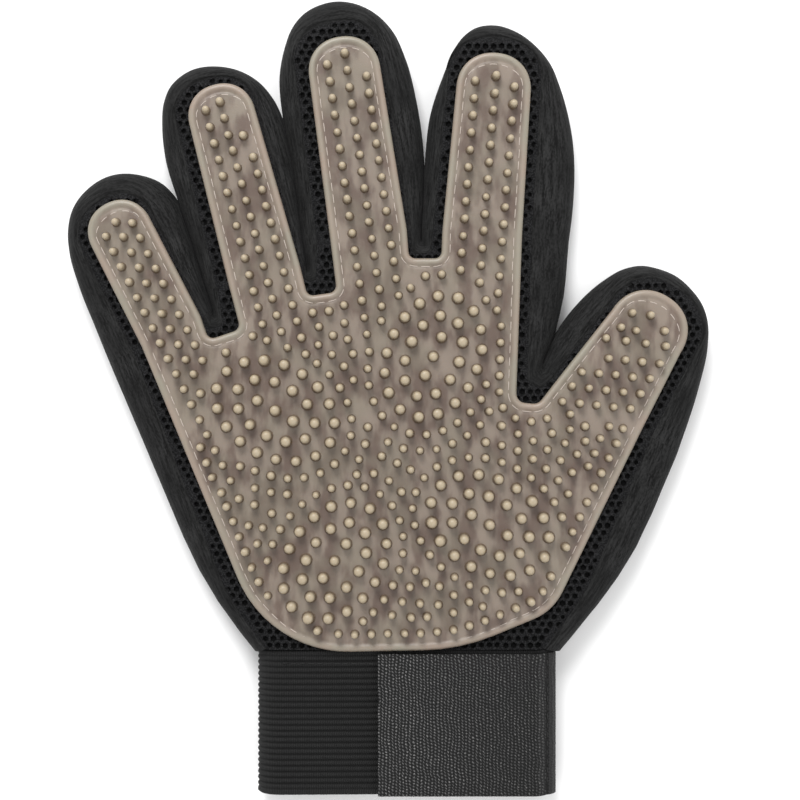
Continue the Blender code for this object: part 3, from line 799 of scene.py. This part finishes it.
def pad_profile(inward):
    """How high the silicone stands above its face at a distance from its edge."""
    rim = RIM_HEIGHT * np.exp(-((inward - RIM_INSET) / 0.8) ** 2)
    groove = -0.16 * np.exp(-((inward - STITCH_INSET) / 0.4) ** 2)
    edge = -0.62 * (1.0 - np.clip(inward / EDGE_ROUNDING, 0.0, 1.0)) ** 2.2
    return rim + groove + edge


def smooth(value, low, high):
    """0 below low, 1 above high, smooth between."""
    share = np.clip((value - low) / (high - low), 0.0, 1.0)
    return share * share * (3.0 - 2.0 * share)


# ---- gussets

def slack(points, heights, angle):
    """Puff and creases of the soft side fabric at places that lie at an angle round its bulge."""
    x, y = points[:, 0], points[:, 1]
    soft = np.sin(x / 5.3 + 0.7 * np.sin(y / 6.1)) * np.cos(y / 7.4 + 0.4) + 0.6 * np.sin((x + y) / 3.3)
    pull = np.sin((x - 0.6 * y) / 1.9 + heights / 3.0) * 0.35
    return 0.28 * soft + 0.22 * pull * (0.5 + 0.5 * math.cos(angle))


def gusset_rows(seam, wall, foot, tuck):
    """A gusset's rows from the seam down to its foot, as (places, heights, how far down the fabric)."""
    seam_z = panel_height(seam)
    reach = np.hypot(*(wall - seam).T)
    rows = [(tuck, seam_z - 0.9, 0.0), (seam, seam_z - 0.55, 1.0)]
    for row in range(1, GUSSET_ROWS + 1):
        angle = 0.5 * math.pi * row / GUSSET_ROWS
        place = seam + (wall - seam) * math.sin(angle) ** 1.15
        z = BULGE_HEIGHT + (seam_z - 0.35 - BULGE_HEIGHT) * math.cos(angle) ** 0.95
        puff = 0.42 * np.minimum(reach / 6.0, 1.0) * math.sin(2 * angle) ** 1.2
        creases = slack(place, z, angle) * math.sin(2 * min(angle, 0.75))
        rows.append((place, z + puff + creases, 1.0 + 9.0 * row / GUSSET_ROWS))
    for row in range(1, FOOT_ROWS + 1):
        angle = 0.5 * math.pi * row / FOOT_ROWS
        place = wall + (foot - wall) * (1.0 - math.cos(angle))
        z = np.full(len(wall), BULGE_HEIGHT - (BULGE_HEIGHT - FOOT_HEIGHT) * math.sin(angle))
        rows.append((place, z, 10.0 + 7.0 * row / FOOT_ROWS))
    return rows


def gusset(name, seam, wall, start_way, end_way, node_names, finger=None):
    """The knit side fabric from the top seam, out over the bulge and back under to the panel below."""
    wall = widen(wall)
    foot = move_in(wall, FOOT_TUCK, start_way, end_way)
    tuck = move_in(seam, SEAM_TUCK, start_way, end_way)
    along = distances(seam)
    points, flow = [], []
    for place, z, down in gusset_rows(seam, wall, foot, tuck):
        points.append(np.column_stack([place, z]))
        flow.append(np.column_stack([along, np.full(len(seam), down), np.zeros(len(seam))]))
    faces = [face[::-1] for face in grid_faces(len(points), len(seam))]
    piece = new_piece(name, np.concatenate(points), faces, GUSSET, [("flow", np.concatenate(flow))])
    thicken(piece, GUSSET_THICKNESS)
    settle(piece, "gusset_knit", finger, *node_names)
    return foot


def make_gussets():
    """All side fabric; returns the foot runs of the palm and of each finger."""
    palm_feet, finger_feet = [], []
    little, thumb = FINGERS[0], FINGERS[-1]
    wrist_way = np.array([1.0, 0.0])

    def palm_section(label, seam, wall, start_way, end_way):
        count = int(max(length_of(seam), length_of(wall)) / STEP)
        return gusset(label, resample(seam, count), resample(wall, count), start_way, end_way, [label])

    palm_feet.append(palm_section("palm_little_gusset", outer_side(0, "seam"), outer_side(0, "wall"),
                                  wrist_way, little.across))
    for index, finger in enumerate(FINGERS):
        nodes = [finger.name + "_left_gusset", finger.name + "_right_gusset"]
        finger_feet.append(gusset(finger.name + "_gusset", finger.around("seam"), finger.around("wall"),
                                  finger.across, -finger.across, nodes, finger))
        if index < len(FINGERS) - 1:
            following = FINGERS[index + 1]
            label = "web_" + finger.name + "_" + following.name
            palm_feet.append(palm_section(label, between(index, "seam"), between(index, "wall"),
                                          -finger.across, following.across))
    palm_feet.append(palm_section("palm_thumb_gusset", outer_side(1, "seam"), outer_side(1, "wall"),
                                  -thumb.across, -wrist_way))
    return palm_feet, finger_feet


# ---- open mesh panels

def closed_with_straights(runs):
    """A closed outline from runs, with the straight gaps between them filled by even points."""
    pieces = []
    for run, following in zip(runs, runs[1:] + runs[:1]):
        pieces.append(run)
        gap = np.array([run[-1], following[0]])
        filled = resample(gap, max(3, int(length_of(gap) / COARSE_STEP)))
        pieces.append(filled[1:-1])
    outline = np.concatenate(pieces)
    keep = np.hypot(*(outline - np.roll(outline, 1, axis=0)).T) > 0.02
    return outline[keep]


def thin(run):
    """A run with fewer points, and its ends kept."""
    return resample(run, max(5, int(length_of(run) / PANEL_STEP)))


def panel(name, runs, height, wanted, side, finger=None):
    outline = closed_with_straights([thin(run) for run in runs])
    settle(mesh_sheet(name, outline, height, wanted, side), "air_mesh", finger, name)


def make_panels(palm_feet, finger_feet):
    """Open mesh on the palm side, with pits where the pad doesn't cover it, and on the back."""
    def shown(points):
        return ~inside(PAD_LOOP, points) | (distance_to(PAD_LOOP, points) < RIM_INSET)

    def everywhere(points):
        return np.ones(len(points), bool)

    def back_height(points):
        return np.full(len(points), BACK_HEIGHT)

    for finger, foot in zip(FINGERS, finger_feet):
        panel(finger.name + "_mesh", [finger.around("seam")], panel_height, shown, 1, finger)
        panel(finger.name + "_back", [foot], back_height, everywhere, -1, finger)
    seams = [outer_side(0, "seam")] + [between(index, "seam") for index in range(4)] + [outer_side(1, "seam")]
    panel("palm_mesh", seams, panel_height, shown, 1)
    panel("palm_back", palm_feet, back_height, everywhere, -1)


# ---- silicone pads

# Groups of large nubs, as (centre, turn in degrees): two rings, as (radii, count, phase), round a short row.
GROUPS = [((-34.4, -3.4), -30.0), ((13.0, 12.9), 67.0), ((-16.6, -48.4), 56.0), ((29.8, -37.6), -30.0)]
GROUP_RINGS = [((19.0, 13.6), 17, 0.0), ((12.9, 7.8), 11, 0.5)]
GROUP_CORE_PITCH = 6.2

# Small nubs: rings of them this far outside each group, and a field of them over what is left.
RING_GROWTH = (5.2, 10.0, 14.8, 19.6)
SMALL_PITCH = 4.9
FIELD_X = (-74.0, 80.0)
FIELD_Y = (-74.0, 50.0)
FIELD_STEP = 0.9

# How far nubs of each kind keep from the pad's edge.
BORDER_EDGE = 5.4
FIELD_EDGE = 4.8
COLUMN_EDGE = 4.3
THUMB_EDGE = 3.6

COLUMN_NUBS = 17
NUB_RADIUS = 1.12
LARGE_NUB_RADIUS = 1.5

# For each finger: the pitch of its nubs, and its columns as (place across, first nub's distance from
# the tip).
NUB_COLUMNS = {
    "little": (5.13, ((0.3, 6.5), (-4.3, 9.0), (4.6, 9.0))),
    "ring": (5.08, ((0.6, 5.8), (-4.2, 7.2), (6.0, 9.1))),
    "middle": (5.10, ((0.8, 5.5), (-4.8, 8.1), (6.3, 8.1))),
    "index": (5.17, ((0.3, 7.3), (-5.7, 9.2), (6.1, 10.0))),
}

# The thumb's nubs stand in slanting rows: (distance along, place across) of the first, the step from each
# to the next, and their number.
THUMB_ROWS = [((28.0, -6.7), (2.4, 5.0), 2), ((23.6, -8.9), (1.7, 4.4), 4), ((17.5, -9.2), (2.5, 5.4), 4)]
THUMB_ROWS += [((10.4 - 5.35 * row, -10.1), (2.3, 4.6), 5) for row in range(4)]


def oval(centre, turn, radii, count, phase):
    """Points spaced evenly round an oval; phase shifts them by a share of their pitch."""
    angles = np.linspace(0.0, 2 * math.pi, 361)
    ring = np.column_stack([radii[0] * np.cos(angles), radii[1] * np.sin(angles)])
    run = distances(ring)
    at = (np.arange(count) + phase) * run[-1] / count
    x = np.interp(at, run, ring[:, 0])
    y = np.interp(at, run, ring[:, 1])
    cosine, sine = math.cos(math.radians(turn)), math.sin(math.radians(turn))
    middle = np.array(centre) + CENTRING
    return np.column_stack([middle[0] + cosine * x - sine * y, middle[1] + sine * x + cosine * y])


def lay_nubs():
    """Places of all nubs, as (x, y, large)."""
    nubs = []
    for centre, turn in GROUPS:
        for radii, count, phase in GROUP_RINGS:
            nubs += [(x, y, True) for x, y in oval(centre, turn, radii, count, phase)]
        way = np.array([math.cos(math.radians(turn)), math.sin(math.radians(turn))])
        for step in (-1, 0, 1):
            x, y = np.array(centre) + CENTRING + way * step * GROUP_CORE_PITCH
            nubs.append((x, y, True))

    def try_nubs(points, from_small, from_large, edge=FIELD_EDGE):
        """Add small nubs where they fit: away from the pad's edge and from the nubs laid before."""
        points = np.asarray(points)
        fits = inside(PAD_LOOP, points) & (distance_to(PAD_LOOP, points) > edge)
        for point in points[fits]:
            taken = np.array(nubs)
            room = np.where(taken[:, 2] > 0, from_large, from_small)
            if np.all(np.hypot(*(taken[:, :2] - point).T) > room):
                nubs.append((point[0], point[1], False))

    for finger in FINGERS[:-1]:
        pitch, columns = NUB_COLUMNS[finger.name]
        for across, first in columns:
            start = finger.pad_length - first
            column = [finger.at(start - step * pitch, across) for step in range(COLUMN_NUBS)]
            try_nubs(column, 4.2, 5.2, COLUMN_EDGE)
    for (s, t), (along, across), count in THUMB_ROWS:
        row = [FINGERS[-1].at(s + step * along, t + step * across) for step in range(count)]
        try_nubs(row, 3.9, 4.8, THUMB_EDGE)
    ahead = np.roll(PAD_LOOP, -2, axis=0) - np.roll(PAD_LOOP, 2, axis=0)
    ahead /= np.hypot(*ahead.T)[:, None]
    border = PAD_LOOP + np.column_stack([ahead[:, 1], -ahead[:, 0]]) * BORDER_EDGE
    border = border[distance_to(PAD_LOOP, border) > BORDER_EDGE - 0.3]
    try_nubs(resample(border, int(length_of(border) / SMALL_PITCH)), 4.4, 5.0)
    for growth in RING_GROWTH:
        for centre, turn in GROUPS:
            radii = (GROUP_RINGS[0][0][0] + growth, GROUP_RINGS[0][0][1] + growth)
            count = int(math.pi * (radii[0] + radii[1]) / SMALL_PITCH)
            try_nubs(oval(centre, turn, radii, count, 0.0), 4.3, 4.9)
    x, y = np.meshgrid(np.arange(*FIELD_X, FIELD_STEP), np.arange(*FIELD_Y, FIELD_STEP))
    grid = np.column_stack([x.ravel(), y.ravel()])
    for centre, turn in GROUPS:
        grid = grid[~inside(oval(centre, turn, GROUP_RINGS[0][0], 40, 0.0), grid)]
    try_nubs(grid, 4.2, 4.7)
    return nubs


# The shape of a nub, as (radius as a share of its stalk's, height as a share of its own).
NUB_PROFILE = [(1.4, -0.02), (1.18, 0.04), (1.07, 0.12), (1.0, 0.3), (0.96, 0.6), (0.91, 0.8), (0.78, 0.91),
               (0.52, 0.975), (0.22, 1.0)]
NUB_AROUND = 12


def nub_points(x, y, large, base, chance):
    """Points, faces and heights as shares, of one nub."""
    radius = (LARGE_NUB_RADIUS if large else NUB_RADIUS) * (1.0 + 0.04 * chance.standard_normal())
    height = NUB_HEIGHT * (1.0 if large else 0.97) * (1.0 + 0.012 * chance.standard_normal())
    height = min(height, GLOVE_TOP - base)
    turn = np.radians(np.arange(NUB_AROUND) * 360.0 / NUB_AROUND)
    ring = np.column_stack([np.cos(turn), np.sin(turn)])
    lean = 0.12 * chance.standard_normal(2)
    points, rise = [], []
    for share, level in NUB_PROFILE:
        place = np.array([x, y]) + lean * max(level, 0.0) + ring * radius * share
        points.append(np.column_stack([place, np.full(NUB_AROUND, base + height * level)]))
        rise += [max(level, 0.0)] * NUB_AROUND
    faces = grid_faces(len(NUB_PROFILE), NUB_AROUND, closed=True)
    last = (len(NUB_PROFILE) - 1) * NUB_AROUND
    faces.append(tuple(range(last, last + NUB_AROUND)))
    return np.concatenate(points), faces, rise


# Distances from the pad's edge at which its rim has a row of points; the first row is its foot.
RIM_DEPTHS = [0.0, 0.0, 0.12, 0.35, 0.7, 1.1, 1.5, 1.95, 2.4, 2.75, 3.1, 3.45, 3.9]


def pad_skin(runs, ways):
    """A pad's points, faces and rim shares without nubs: a rim along its free runs, and its face."""
    points, faces, rim, inner_runs = [], [], [], []
    count = 0
    for run, (start_way, end_way) in zip(runs, ways):
        for level, depth in enumerate(RIM_DEPTHS):
            place = move_in(run, depth, start_way, end_way)
            z = PAD_FACE + lift(place) + pad_profile(np.full(len(place), depth))
            if level == 0:
                z = np.full(len(place), PAD_FOOT)
            points.append(np.column_stack([place, z]))
            rim.append(np.full(len(place), 1.0 - smooth(depth, 0.9, 3.0)))
        faces += [face[::-1] for face in grid_faces(len(RIM_DEPTHS), len(run), start=count)]
        count += len(RIM_DEPTHS) * len(run)
        inner_runs.append(place)
    outline = closed_with_straights(inner_runs)
    flat, triangles = fill_outline(outline, spaced_lattice(outline, 2.2, 1.0))
    inward = distance_to(PAD_LOOP, flat)
    points.append(np.column_stack([flat, PAD_FACE + lift(flat) + pad_profile(np.maximum(inward, 0.5))]))
    rim.append(1.0 - smooth(inward, 0.9, 3.0))
    faces += [tuple(index + count for index in triangle) for triangle in triangles]
    return points, faces, rim


def silicone_piece(name, runs, ways, nubs, chance, finger=None):
    """A pad with its nubs."""
    points, faces, rim = pad_skin(runs, ways)
    count = sum(len(part) for part in points)
    rise = [np.zeros(count)]
    for x, y, large in nubs:
        base = PAD_FACE + float(lift(np.array([[x, y]]))[0])
        nub, nub_faces, nub_rise = nub_points(x, y, large, base, chance)
        points.append(nub)
        faces += [tuple(index + count for index in face) for face in nub_faces]
        rise.append(np.array(nub_rise) + 0.001)
        rim.append(np.zeros(len(nub)))
        count += len(nub)
    piece = new_piece(name, np.concatenate(points), faces, SILICONE,
                      [("rim", np.concatenate(rim)), ("rise", np.concatenate(rise))])
    settle(piece, "silicone", finger, name)


def share_nubs(nubs):
    """Sort the nubs by the pad they stand on."""
    shared = {name: [] for name in ["palm"] + [finger.name for finger in FINGERS]}
    for x, y, large in nubs:
        owner = "palm"
        for finger in FINGERS:
            s, t = (np.array([x, y]) - finger.root) @ np.column_stack([finger.along, finger.across])
            if abs(t) < finger.pad_root and s > 0:
                owner = finger.name
        shared[owner].append((x, y, large))
    return shared


def make_pads():
    """The silicone pads of the palm and the fingers, with their nubs."""
    chance = np.random.default_rng(7)
    nubs = share_nubs(lay_nubs())
    for finger in FINGERS:
        ways = [(finger.across, -finger.across)]
        silicone_piece(finger.name + "_pad", [finger.around("pad")], ways, nubs[finger.name], chance, finger)
    little, thumb = FINGERS[0], FINGERS[-1]
    runs = [even(between(index, "pad")) for index in range(4)] + [even(heel_run())]
    ways = [(-FINGERS[index].across, FINGERS[index + 1].across) for index in range(4)]
    ways.append((-thumb.across, little.across))
    silicone_piece("palm_pad", runs, ways, nubs["palm"], chance)


# ---- stitches

def stitches(name, run, heights, material, chance, finger=None, length=3.0, gap=0.6, radius=0.14):
    """Short rounded stitches laid end to end along a run. The piece has its CAD node's name."""
    at = distances(run)
    shares = np.linspace(0.0, 1.0, STITCH_RINGS)
    angles = np.radians(np.arange(0.0, 360.0, 360.0 / STITCH_SIDES))
    size = radius * (0.35 + 0.65 * np.sin(math.pi * (0.08 + 0.84 * shares)) ** 0.5)[:, None]
    sink = -0.28 * (2 * shares - 1.0)[:, None] ** 4
    points, faces = [], []
    place = 0.4 * gap
    while place + length < at[-1]:
        along = place + shares * length * (1.0 + 0.05 * chance.standard_normal())
        x, y, z = (np.interp(along, at, values)[:, None] for values in (run[:, 0], run[:, 1], heights))
        way = np.array([x[-1, 0] - x[0, 0], y[-1, 0] - y[0, 0]])
        way /= np.hypot(*way)
        offset = np.cos(angles) * size + 0.05 * chance.standard_normal()
        rings = (x - way[1] * offset, y + way[0] * offset, z + sink + np.sin(angles) * size)
        start = len(points) * STITCH_RINGS * STITCH_SIDES
        last = start + (STITCH_RINGS - 1) * STITCH_SIDES
        points.append(np.column_stack([values.ravel() for values in rings]))
        faces += grid_faces(STITCH_RINGS, STITCH_SIDES, start=start, closed=True)
        faces.append(tuple(range(start, start + STITCH_SIDES))[::-1])
        faces.append(tuple(range(last, last + STITCH_SIDES)))
        place += length + gap
    piece = new_piece(name, np.concatenate(points), faces, material)
    settle(piece, "thread", finger, name)


def make_pad_stitches():
    """The pale stitches that hold the pad: closer to its edge at the heel, and further in at the tips."""
    chance = np.random.default_rng(11)

    def sew(label, run, start_way, end_way, finger=None):
        distance = STITCH_INSET - 0.6 * smooth(-run[:, 1], 66.0, 74.0)
        if finger:
            reach = (run - finger.root) @ finger.along
            distance = distance + smooth(reach, finger.pad_length - 7.0, finger.pad_length)
        line = move_in(run, distance[:, None], start_way, end_way)
        line = resample(line, int(length_of(line) / 0.5))
        stitches(label, line, PAD_FACE - 0.02 + lift(line), PALE_THREAD, chance, finger)

    for finger in FINGERS:
        sew(finger.name + "_pad_thread", finger.around("pad"), finger.across, -finger.across, finger)
    for index in range(4):
        left, right = FINGERS[index], FINGERS[index + 1]
        label = "pad_thread_" + left.name + "_" + right.name
        sew(label, even(between(index, "pad")), -left.across, right.across)
    sew("pad_thread_heel", even(heel_run()), -FINGERS[-1].across, FINGERS[0].across)


# ---- wrist

# The pieces whose ends meet each other, so that only their long edges are rounded.
OPEN_ENDED = ("strap", "strap_anchor")


def stadium_ring(inset, count):
    """Points round the band's cross section, as (x, z), moved in by inset."""
    radius = BAND_TOP / 2 - inset
    middle = BAND_TOP / 2
    left, right = BAND_LEFT + BAND_TOP / 2, BAND_RIGHT - BAND_TOP / 2
    turn = np.linspace(-math.pi / 2, math.pi / 2, 24)
    end = np.column_stack([right + radius * np.cos(turn), middle + radius * np.sin(turn)])
    start = np.column_stack([left - radius * np.cos(turn), middle - radius * np.sin(turn)])
    loop = np.concatenate([end, start, end[:1]])
    return resample(loop, count + 1)[:-1]


def band_profile():
    """The band's rows along its outside and back along its inside, as (inset, y, share of a groove)."""
    length = BAND_NEAR - BAND_FAR
    rows = []
    for row in range(BAND_ROWS + 1):
        along = length * row / BAND_ROWS
        edge = min(along, length - along)
        rib = 0.5 - 0.5 * math.cos(2 * math.pi * along / RIB_PITCH)
        groove = (1.0 - rib ** 0.7) * float(smooth(edge, 0.8, 2.2))
        round_off = BAND_ROUNDING * (1.0 - float(smooth(edge, 0.0, BAND_ROUNDING)))
        rows.append((RIB_DEPTH * groove + round_off, BAND_NEAR - along, groove))
    for row in range(BAND_ROWS + 1):
        along = length * (BAND_ROWS - row) / BAND_ROWS
        rows.append((BAND_THICKNESS, BAND_NEAR - along, 0.0))
    return rows


def make_band():
    """The ribbed elastic band: ribs run round the wrist, with a plain woven edge each side."""
    around = 260
    profile = band_profile()
    outer = stadium_ring(0.0, around)
    inner = stadium_ring(BAND_THICKNESS, around)
    points, flow = [], []
    for inset, y, _ in profile:
        share = inset / BAND_THICKNESS
        ring = outer * (1.0 - share) + inner * share
        wobble = 0.18 * np.sin(ring[:, 0] / 11.0 + y / 17.0) * (ring[:, 1] / BAND_TOP) * (1.0 - share)
        points.append(np.column_stack([ring[:, 0], np.full(around, y) + 0.15 * np.sin(ring[:, 0] / 19.0),
                                       ring[:, 1] + wobble]))
        flow.append(np.column_stack([np.arange(around) * 0.78, np.full(around, y), np.zeros(around)]))
    faces = grid_faces(len(profile), around, closed=True)
    last = (len(profile) - 1) * around
    faces += [(last + index, last + (index + 1) % around, (index + 1) % around, index)
              for index in range(around)]
    groove = np.repeat([row[2] for row in profile], around)
    piece = new_piece("wrist_band", np.concatenate(points), faces, ELASTIC,
                      [("flow", np.concatenate(flow)), ("groove", groove)])
    settle(piece, "elastic", None, "wrist_band")


def flat_fabric(name, low, high, bottom, top, material, bow, step=0.55):
    """A rectangular piece of fabric with rounded edges; bow moves both its faces up or down."""
    columns = max(4, int((high[0] - low[0]) / step))
    rows = max(4, int((high[1] - low[1]) / step))
    x = np.linspace(low[0], high[0], columns + 1)
    y = np.linspace(low[1], high[1], rows + 1)
    grid_x, grid_y = np.meshgrid(x, y)
    flat = np.column_stack([grid_x.ravel(), grid_y.ravel()])
    edge = np.minimum.reduce([flat[:, 0] - low[0], high[0] - flat[:, 0], flat[:, 1] - low[1],
                              high[1] - flat[:, 1]])
    if name in OPEN_ENDED:
        edge = np.minimum(flat[:, 1] - low[1], high[1] - flat[:, 1])
    round_off = 0.5 * (top - bottom) * (1.0 - np.clip(edge / 0.7, 0.0, 1.0)) ** 2
    upper = np.column_stack([flat, top - round_off + bow(flat)])
    lower = np.column_stack([flat, bottom + round_off + bow(flat)])
    faces = grid_faces(rows + 1, columns + 1)
    size = len(flat)
    faces += [tuple(index + size for index in face)[::-1] for face in faces]
    border = list(range(columns + 1)) + [columns + row * (columns + 1) for row in range(1, rows + 1)]
    border += [rows * (columns + 1) + column for column in range(columns - 1, -1, -1)]
    border += [row * (columns + 1) for row in range(rows - 1, 0, -1)]
    for a, b in zip(border, border[1:] + border[:1]):
        faces.append((b, a, a + size, b + size))
    return new_piece(name, np.concatenate([upper, lower]), faces, material)


def strap_bow(flat):
    """The strap's own shape: it sinks towards its free edges, and its sewn end lies down on the band."""
    x, y = flat[:, 0], flat[:, 1]
    soft = 0.12 * np.sin(x / 9.0 + 0.8) * np.sin(y / 12.0)
    hem = 0.14 * np.exp(-((x - STRAP_LEFT - 1.2) / 0.7) ** 2)
    seam = -0.22 * np.exp(-((x - ROOT_STITCH_X) / 0.5) ** 2)
    left = 1.25 * (1.0 - smooth(x, STRAP_LEFT - 1.0, STRAP_LEFT + 3.0))
    sides = 0.9 * (1.0 - smooth(np.minimum(STRAP_NEAR - y, y - STRAP_FAR), -1.0, 3.5))
    past_crown = np.clip(x - (BAND_RIGHT - BAND_TOP / 2), 0.0, BAND_TOP / 2)
    band = BAND_TOP / 2 + np.sqrt((BAND_TOP / 2) ** 2 - past_crown ** 2)
    down = STRAP_BOTTOM - band - ANCHOR_CLEAR
    sewn = smooth(x, STRAP_HINGE - 0.4, STRAP_HINGE + 3.2)
    return (soft + hem + seam - np.maximum(left, sides)) * (1.0 - sewn) + (seam - down) * sewn


def level(flat):
    """No bow at all."""
    return np.zeros(len(flat))


def make_strap():
    """The knitted strap that closes over the band, with hook tape under it and loop patch on the band."""
    strap = flat_fabric("strap", (STRAP_LEFT, STRAP_FAR), (STRAP_HINGE, STRAP_NEAR), STRAP_BOTTOM, STRAP_TOP,
                        STRAP, strap_bow)
    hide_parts("strap")
    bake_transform(strap)
    anchor = flat_fabric("strap_anchor", (STRAP_HINGE, STRAP_FAR), (STRAP_RIGHT, STRAP_NEAR), STRAP_BOTTOM,
                         STRAP_TOP, STRAP, strap_bow)
    settle(anchor, "strap_knit", None, "strap_anchor")
    hooks = flat_fabric("hook_tape", (STRAP_LEFT + 2.0, STRAP_FAR + 3.0), (22.8, STRAP_NEAR - 3.0),
                        15.75, 16.95, HOOKS, level, 1.5)
    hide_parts("hook_tape")
    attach(hooks, "strap")
    patch = flat_fabric("loop_patch", (STRAP_LEFT + 3.0, STRAP_FAR + 2.0), (36.8, STRAP_NEAR - 2.0),
                        14.3, 15.4, LOOPS, level, 1.0)
    settle(patch, "hook_and_loop", None, "loop_patch")


def make_wrist_stitches():
    """The dark stitches at the strap's sewn end, and those along the band."""
    chance = np.random.default_rng(23)
    run = resample(np.array([(ROOT_STITCH_X, STRAP_NEAR - 1.6), (ROOT_STITCH_X, STRAP_FAR + 1.2)]), 90)
    stitches("strap_anchor_thread", run, STRAP_TOP + strap_bow(run), DARK_THREAD, chance, None, 2.2, 0.5, 0.2)
    y = BAND_NEAR - 4.2
    run = resample(np.array([(BAND_LEFT + 7.5, y), (STRAP_LEFT - 0.6, y)]), 60)
    stitches("band_seam_thread", run, np.full(60, BAND_TOP + 0.02), DARK_THREAD, chance, None, 2.0, 0.6, 0.2)


# ---- camera and light

def make_room():
    """A pale floor, an even pale sky and two soft lights, all in metres."""
    bpy.ops.mesh.primitive_plane_add(size=6.0, location=(0.0, 0.0, -0.0003))
    floor = bpy.context.active_object
    floor.name = "floor"
    floor.data.materials.append(floor_material())
    world = bpy.data.worlds.new("room")
    world.use_nodes = True
    world.node_tree.nodes["Background"].inputs["Color"].default_value = (1.0, 1.0, 1.0, 1.0)
    world.node_tree.nodes["Background"].inputs["Strength"].default_value = 0.93
    bpy.context.scene.world = world

    def soft_light(name, place, size, power):
        light = bpy.data.lights.new(name, "AREA")
        light.size = size
        light.energy = power
        item = bpy.data.objects.new(name, light)
        item.location = place
        item.rotation_euler = (Vector((0.0, 0.0, 0.0)) - Vector(place)).to_track_quat("-Z", "Y").to_euler()
        bpy.context.scene.collection.objects.link(item)

    soft_light("key", (-0.2, 0.85, 0.95), 0.5, 15.0)
    soft_light("fill", (0.6, -0.3, 1.1), 0.9, 3.0)


def make_camera():
    camera = bpy.data.cameras.new("camera")
    camera.sensor_width = 36.0
    camera.lens = 82.5
    camera.dof.use_dof = False
    item = bpy.data.objects.new("camera", camera)
    item.location = (*VIEW_CENTRE * MM, VIEW_HEIGHT * MM)
    bpy.context.scene.collection.objects.link(item)
    bpy.context.scene.camera = item
    bpy.context.scene.view_settings.view_transform = "Standard"


palm_foot_runs, finger_foot_runs = make_gussets()
make_panels(palm_foot_runs, finger_foot_runs)
make_pads()
make_pad_stitches()
make_band()
make_strap()
make_wrist_stitches()
make_room()
make_camera()
